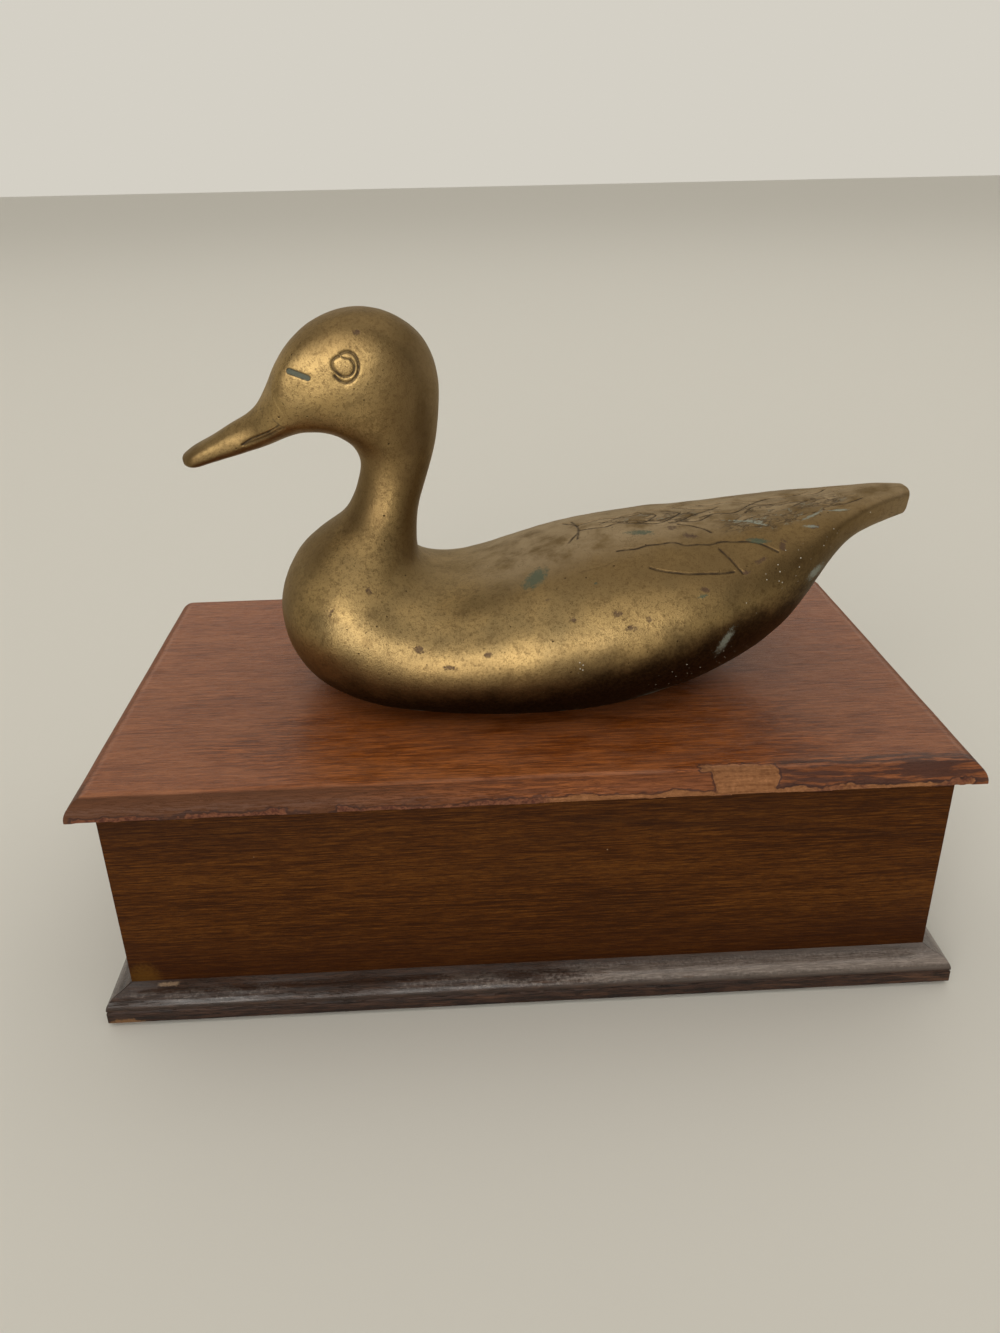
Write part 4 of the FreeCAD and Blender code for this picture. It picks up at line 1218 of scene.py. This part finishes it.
def woodGrain(finish, look, turn=0.0):
    # colour and relief of grain that runs along the piece: broad bands, fine fibres and short dark pores
    fine, share = look["fineness"], look["bandShare"]
    bands = finish.streaks((0.006, 0.10, 0.10), turn, 3.0, 0.55)
    fibres = finish.streaks((0.08, 1.1 * fine, 1.1 * fine), turn, 5.0, 0.72)
    pores = finish.streaks((0.19, 2.3 * fine, 2.3 * fine), turn, 3.0, 0.65).between(0.53, 0.59)
    tone = bands * share + fibres * (1.0 - share)
    colour = finish.shades(tone, look["deep"], look["mid"], look["pale"], look["edges"])
    colour = finish.colours(pores * 0.75, colour, look["deep"])
    return colour, fibres * 0.5 - pores * 0.8, tone, pores


def oval(first, second, centre, half):
    # 1 on the rim of an oval, less within it and more beyond it
    across = (first - centre[0]) / half[0]
    along = (second - centre[1]) / half[1]
    return across * across + along * along


lidWoodLook = {
    "pale": (0.400, 0.118, 0.024),
    "mid": (0.250, 0.066, 0.010),
    "deep": (0.085, 0.019, 0.003),
    "edges": (0.42, 0.50, 0.58),
    "bandShare": 0.16,
    "fineness": 1.25,
    "calmPale": (0.335, 0.112, 0.036),
    "calmMid": (0.262, 0.080, 0.023),
    "calmDeep": (0.150, 0.041, 0.011),
    "calmEdges": (0.39, 0.50, 0.61),
    "glow": (0.165, 0.042, 0.005),
    "footShadow": (0.050, 0.012, 0.002),
    "edge": (0.080, 0.030, 0.011),
    "arris": (0.36, 0.150, 0.070),
    "torn": (0.052, 0.019, 0.012),
    "rim": (0.034, 0.013, 0.010),
    "rawDeep": (0.16, 0.062, 0.022),
    "rawMid": (0.24, 0.102, 0.040),
    "rawPale": (0.34, 0.152, 0.064),
    "rawEdges": (0.38, 0.50, 0.62),
    "oldRawDeep": (0.090, 0.030, 0.018),
    "oldRawPale": (0.19, 0.072, 0.036),
    "crack": (0.09, 0.03, 0.018),
    "roughness": 0.28,
    "coat": 0.16,
    "coatRoughness": 0.25,
    "specular": 0.24,
}


def lidWood(look):
    # reddish wood under worn lacquer, with stains, wear, a painted shadow and a painted highlight by place on
    # the lid
    finish = Finish("mahoganyLid")
    where = finish.place()
    x, y, z = finish.axes(where)
    colour, relief, tone, pores = woodGrain(finish, look)
    drift = finish.streaks((0.012, 0.03, 0.03))
    wander = finish.streaks((0.05, 0.12, 0.12), 0.0, 4.0, 0.6)
    torn = finish.streaks((0.09, 0.75, 0.75), 0.0, 4.0, 0.65)
    dashes = finish.streaks((0.30, 2.1, 2.1), 0.0, 2.0, 0.6).between(0.48, 0.64)
    fine = finish.noise(where, 0.9, 3.0, 0.6)
    # deep orange in front of the duck, pinker and duller towards the back, the left and the right end
    zone = oval(x, y, (4.0, -46.0), (84.0, 26.0)) + (drift - 0.5) * 1.4 + (wander - 0.5) * 0.8
    warm = 1.0 - zone.between(0.4, 1.9)
    calm = finish.shades(tone * 0.92 + wander * 0.08, look["calmDeep"], look["calmMid"], look["calmPale"],
                         look["calmEdges"])
    calm = finish.colours(dashes.most(pores * fine.between(0.30, 0.55)) * 0.42, calm, look["calmDeep"])
    colour = finish.colours(dashes * 0.35, colour, look["deep"])
    colour = finish.colours(warm.between(0.05, 0.85) * 0.9, calm, colour)
    colour = finish.colours(warm * 0.25, colour, look["glow"])
    # painted shadow and a painted reflection of the duck's dark belly, round the duck's foot
    shade = 1.0 - (oval(x, y, (2.0, 0.0), (54.0, 37.0)) + (wander - 0.5) * 0.5).between(0.85, 1.75)
    colour = finish.colours(shade * 0.60, colour, look["footShadow"])
    # the rounded edge is darker, and most so at the left of the front
    edge = (lidTop - z).between(0.05, 0.5)
    side = (y + 64.0).between(0.0, 5.0)
    darker = edge * (0.86 - x.between(-70.0, 10.0) * 0.52) * (1.0 - side * 0.55)
    colour = finish.colours(darker, colour, look["edge"])
    # a thin pale line where the top meets the rounded edge: wear, and a painted highlight along the arris
    arris = 1.0 - abs(lidTop - z - 0.16).between(0.06, 0.24)
    colour = finish.colours(arris * wander.between(0.38, 0.60) * 0.40, colour, look["arris"])
    # torn grain at the right of the front
    frontRight = x.between(64.0, 70.0) * (1.0 - (y + (wander - 0.5) * 9.0).between(-67.0, -63.5))
    colour = finish.colours(frontRight * torn.between(0.40, 0.54) * 0.88, colour, look["torn"])
    # bare wood with a dark rim, fresh in the middle of the front and older towards both ends
    bare = finish.mark("bare") + (torn - 0.5) * 1.1 + (fine - 0.5) * 0.3
    rim = (1.0 - abs(bare + 0.25).between(0.1, 0.55)) * (finish.mark("bare") + 2.9).between(0.0, 0.1)
    colour = finish.colours(rim * 0.7, colour, look["rim"])
    raw = finish.shades(tone * 0.65 + fine * 0.35, look["rawDeep"], look["rawMid"], look["rawPale"],
                        look["rawEdges"])
    oldRaw = finish.colours(fine.between(0.35, 0.65), look["oldRawDeep"], look["oldRawPale"])
    fresh = x.between(0.0, 8.0) * (1.0 - x.between(72.0, 84.0) * wander.between(0.45, 0.6))
    colour = finish.colours(bare.between(-0.05, 0.2), colour, finish.colours(fresh, oldRaw, raw))
    # a hair crack on the left
    crack = (1.0 - abs(y + 29.5 + (drift - 0.5) * 3.0).between(0.05, 0.40)) * (1.0 - x.between(-66.0, -56.0))
    crack = crack * (1.0 - edge) * fine.between(0.35, 0.6)
    colour = finish.colours(crack * 0.5, colour, look["crack"])
    rough = (look["roughness"] + (fine - 0.5) * 0.16 + pores * 0.14 + bare.between(0.0, 0.3) * 0.4
             + wander * 0.14 + edge * 0.20)
    finish.dress(lid, Base_Color=colour, Roughness=rough, Coat_Weight=look["coat"] * (1.0 - edge),
                 Normal=finish.bump(relief * 1.2 + fine * 0.6, 0.55, 0.20),
                 Coat_Roughness=look["coatRoughness"], Specular_IOR_Level=look["specular"])


wallWoodLook = {
    "pale": (0.108, 0.0370, 0.0052),
    "mid": (0.070, 0.0212, 0.0025),
    "deep": (0.031, 0.0088, 0.0013),
    "edges": (0.41, 0.50, 0.59),
    "bandShare": 0.20,
    "fineness": 2.3,
    "drift": (0.026, 0.008, 0.002),
    "foot": (0.026, 0.007, 0.0025),
    "amber": (0.150, 0.068, 0.009),
    "figure": (0.016, 0.005, 0.002),
    "underLidShadow": (0.012, 0.005, 0.003),
    "fleck": (0.28, 0.17, 0.09),
    "roughness": 0.46,
    "specular": 0.07,
}


def wallWood(look, name, turn, pieces):
    # dark brown wood, its grain along the pieces: turn is 90 for the two short sides
    finish = Finish(name)
    where = finish.place()
    x, _, z = finish.axes(where)
    colour, relief, _, pores = woodGrain(finish, look, turn)
    fine = finish.noise(where, 1.1, 3.0, 0.6)
    drift = finish.streaks((0.012, 0.05, 0.05), turn, 4.0, 0.6)
    dashes = finish.streaks((0.38, 2.4, 2.4), turn, 2.0, 0.6)
    colour = finish.colours(dashes.between(0.46, 0.64) * 0.45, colour, look["deep"])
    colour = finish.colours(drift.between(0.50, 0.72) * 0.40, colour, look["drift"])
    redder = 1.0 - (z + (drift - 0.5) * 24.0).between(10.0, 30.0)
    colour = finish.colours(redder * 0.6, colour, look["foot"])
    if turn == 0.0:
        # an amber patch in the lower left corner, and one dark line of figure that falls across the front
        spot = oval(x, z, (-115.5, 12.0), (4.2, 4.5)) + (drift - 0.5) * 2.2 + (fine - 0.5) * 2.5
        colour = finish.colours((1.0 - spot.between(-0.3, 1.9)) * 0.42, colour, look["amber"])
        figure = 1.0 - abs(z - 63.8 + x * 0.112 + (drift - 0.5) * 5.0).between(0.3, 1.6)
        colour = finish.colours(figure * x.between(0.0, 16.0) * 0.35, colour, look["figure"])
    # painted shadow under the lid's overhang, at the top of the walls
    colour = finish.colours(z.between(67.0, 70.5) * 0.5, colour, look["underLidShadow"])
    fleck = 1.0 - finish.cells(where, 0.09).between(0.012, 0.03)
    fleck = fleck * finish.chance(where, 0.09).between(0.75, 0.8)
    colour = finish.colours(fleck * 0.7, colour, look["fleck"])
    rough = look["roughness"] + (fine - 0.5) * 0.14 + pores * 0.1
    finish.dress(*pieces, Base_Color=colour, Roughness=rough, Normal=finish.bump(relief, 0.35, 0.10),
                 Specular_IOR_Level=look["specular"])


baseWoodLook = {
    "pale": (0.074, 0.034, 0.018),
    "mid": (0.036, 0.016, 0.009),
    "deep": (0.010, 0.005, 0.0032),
    "edges": (0.40, 0.50, 0.61),
    "bandShare": 0.35,
    "fineness": 1.0,
    "bead": (0.040, 0.024, 0.016),
    "rightSheen": (0.115, 0.090, 0.074),
    "wornAndSheen": (0.30, 0.250, 0.215),
    "scuff": (0.12, 0.060, 0.030),
    "chip": (0.20, 0.10, 0.040),
    "nick": (0.30, 0.20, 0.12),
    "roughness": 0.52,
    "coat": 0.7,
    "coatRoughness": 0.18,
    "specular": 0.25,
}


def baseWood(look, name, turn, pieces):
    # nearly black wood with a crackled finish, by height above the foot of the base
    finish = Finish(name)
    where = finish.place()
    x, y, z = finish.axes(where)
    up = z - boxOf("base_moulding_front")[0][2]
    colour, relief = woodGrain(finish, look, turn)[:2]
    fine = finish.noise(where, 1.0, 4.0, 0.65)
    drift = finish.streaks((0.03, 0.10, 0.3), turn, 4.0, 0.65)
    # the bead is greyer and paler at the right with a painted sheen, and its finish is worn pale where hands
    # and cloths reach it, shown with a painted highlight along its crown that grows to the right
    colour = finish.colours(up.between(3.6, 5.0) * 0.4, colour, look["bead"])
    colour = finish.colours(up.between(4.4, 6.0) * x.between(-10.0, 90.0) * 0.7, colour, look["rightSheen"])
    wornAndSheen = 1.0 - abs(up - 7.7 + (fine - 0.5) * 2.0).between(0.3, 1.8)
    wornAndSheen = wornAndSheen * (drift + (fine - 0.5) * 0.5 + x.between(-40.0, 60.0) * 0.34).between(0.50, 0.76)
    crackle = finish.streaks((0.22, 2.2, 2.2), turn, 3.0, 0.7).between(0.42, 0.62)
    colour = finish.colours(wornAndSheen * (crackle * 0.38 + 0.42), colour, look["wornAndSheen"])
    scuff = finish.streaks((0.12, 0.8, 0.8), turn, 3.0, 0.7).between(0.64, 0.76)
    colour = finish.colours(scuff * 0.4, colour, look["scuff"])
    if turn == 0.0:
        # a chipped corner and a nick at the left of the front
        front = 1.0 - y.between(-60.0, -50.0)
        chip = 1.0 - (oval(x, up, (-121.0, 0.0), (5.5, 1.8)) + (fine - 0.5) * 3.0).between(0.3, 1.3)
        colour = finish.colours(chip * front * 0.8, colour, look["chip"])
        nick = 1.0 - abs(x + 108.5).between(2.0, 3.6)
        nick = nick * (1.0 - abs(up - 9.3 + (fine - 0.5) * 0.8).between(0.1, 0.35))
        colour = finish.colours(nick * front * 0.8, colour, look["nick"])
    # the finish has crackled, and shines on the bead and above it
    gloss = up.between(4.6, 6.0)
    rough = look["roughness"] - gloss * 0.16 + (fine - 0.5) * 0.30
    finish.dress(*pieces, Base_Color=colour, Roughness=rough,
                 Coat_Weight=gloss * drift.between(0.36, 0.60) * look["coat"],
                 Normal=finish.bump(relief + fine * 0.8 + drift * 1.2, 0.6, 0.30),
                 Coat_Roughness=look["coatRoughness"], Specular_IOR_Level=look["specular"])


boardLook = {
    "pale": (0.30, 0.19, 0.10),
    "mid": (0.20, 0.12, 0.06),
    "deep": (0.10, 0.055, 0.025),
    "edges": (0.40, 0.50, 0.61),
    "bandShare": 0.35,
    "fineness": 1.0,
}


def boardWood(look):
    # plain pale wood, out of sight under the felt
    finish = Finish("plainBoard")
    colour, relief, _, pores = woodGrain(finish, look)
    finish.dress(nodes["bottom_board"], Base_Color=colour, Roughness=0.6 + pores * 0.1,
                 Normal=finish.bump(relief, 0.3, 0.10))


feltColours = {"deep": (0.012, 0.028, 0.016), "mid": (0.028, 0.058, 0.033), "pale": (0.060, 0.098, 0.060)}


def greenFelt(tint):
    # three greens by fluff, tufts and wide fading
    finish = Finish("greenFelt")
    where = finish.place()
    fluff = finish.noise(where, 2.4, 4.0, 0.7)
    tufts = finish.noise(where, 0.5, 3.0, 0.6)
    wide = finish.noise(where, 0.03, 3.0, 0.6)
    tone = fluff * 0.5 + tufts * 0.25 + wide * 0.25
    colour = finish.shades(tone, tint["deep"], tint["mid"], tint["pale"], (0.30, 0.55, 0.75))
    finish.dress(*felts, feet, Base_Color=colour, Roughness=0.9 + tufts * 0.08,
                 Normal=finish.bump(fluff + tufts, 0.6, 0.25), Sheen_Weight=0.35, Specular_IOR_Level=0.15)


hingeColours = {"deep": (0.20, 0.125, 0.045), "mid": (0.48, 0.33, 0.13), "pale": (0.62, 0.45, 0.19)}


def hingeBrass(tint):
    # three brass colours by clouding, with fine brush marks along the hinges
    finish = Finish("drawnBrass")
    where = finish.place()
    cloudy = finish.noise(where, 0.25, 4.0, 0.6)
    fine = finish.noise(where, 3.0, 3.0, 0.6)
    brushed = finish.streaks((0.4, 6.0, 6.0), 0.0, 2.0)
    colour = finish.shades(cloudy * 0.6 + fine * 0.4, tint["deep"], tint["mid"], tint["pale"], (0.3, 0.5, 0.7))
    names = [name for name in nodes if name.startswith("hinge_") or name in ("duck_screws", "duck_washers")]
    finish.dress(*[nodes[name] for name in names], Base_Color=colour, Metallic=1.0,
                 Roughness=0.26 + cloudy * 0.2 + brushed * 0.08,
                 Normal=finish.bump(brushed + fine * 0.5, 0.25, 0.03))


castBrass(brassLook)
lidWood(lidWoodLook)
wallWood(wallWoodLook, "walnutLong", 0.0, (walls["front"], walls["back"]))
wallWood(wallWoodLook, "walnutShort", 90.0, (walls["left"], walls["right"]))
baseWood(baseWoodLook, "darkMouldingLong", 0.0, (mouldings["front"], mouldings["back"]))
baseWood(baseWoodLook, "darkMouldingShort", 90.0, (mouldings["left"], mouldings["right"]))
boardWood(boardLook)
greenFelt(feltColours)
hingeBrass(hingeColours)
print("materials ready")


# Floor, world and lamps

stageLook = {
    "floor": (0.72, 0.70, 0.635),
    "wall": (0.66, 0.63, 0.56),
    "room": (0.28, 0.26, 0.23),
    "floorHalf": 12.0,
}

lamps = {
    "window": {
        "kind": "SUN",
        "from": (-0.34, -0.90, 0.27),
        "power": 2.1,
        "angle": 48.0,
        "tint": (1.0, 0.975, 0.93),
    },
    "ceiling": {
        "kind": "AREA",
        "from": (0.10, 0.05, 3.0),
        "power": 34.0,
        "size": 4.0,
        "tint": (1.0, 0.985, 0.96),
    },
}


def makeStage(look):
    half = look["floorHalf"]
    mesh = bpy.data.meshes.new("studioFloor")
    corners = [(-half, -half, 0.0), (half, -half, 0.0), (half, half, 0.0), (-half, half, 0.0)]
    mesh.from_pydata(corners, [], [(0, 1, 2, 3)])
    floor = bpy.data.objects.new("studioFloor", mesh)
    bpy.context.scene.collection.objects.link(floor)
    Finish("paleFloor").dress(floor, Base_Color=(*look["floor"], 1.0), Roughness=0.9)
    # a pale wall behind, and a dimmer room in front and overhead
    world = bpy.data.worlds.new("paleRoom")
    world.use_nodes = True
    graph = Graph(world.node_tree)
    _, y, z = graph.axes(graph.node("ShaderNodeTexCoord", output="Generated"))
    wall = y.between(-0.2, 0.4) * (1.0 - z.between(0.55, 1.0))
    colour = graph.colours(wall, look["room"], look["wall"])
    graph.feed(world.node_tree.nodes["Background"].inputs["Color"], colour)
    bpy.context.scene.world = world


def makeLamps(lamps):
    for name, look in lamps.items():
        data = bpy.data.lights.new(name, look["kind"])
        data.energy = look["power"]
        data.color = look["tint"]
        if look["kind"] == "SUN":
            data.angle = math.radians(look["angle"])
        else:
            data.size = look["size"]
        lamp = bpy.data.objects.new(name, data)
        lamp.location = look["from"]
        lamp.rotation_euler = Vector(look["from"]).to_track_quat("Z", "Y").to_euler()
        bpy.context.scene.collection.objects.link(lamp)


makeStage(stageLook)
makeLamps(lamps)
bpy.context.scene.view_settings.view_transform = "Standard"
print("studio ready")

bpy.context.view_layer.update()
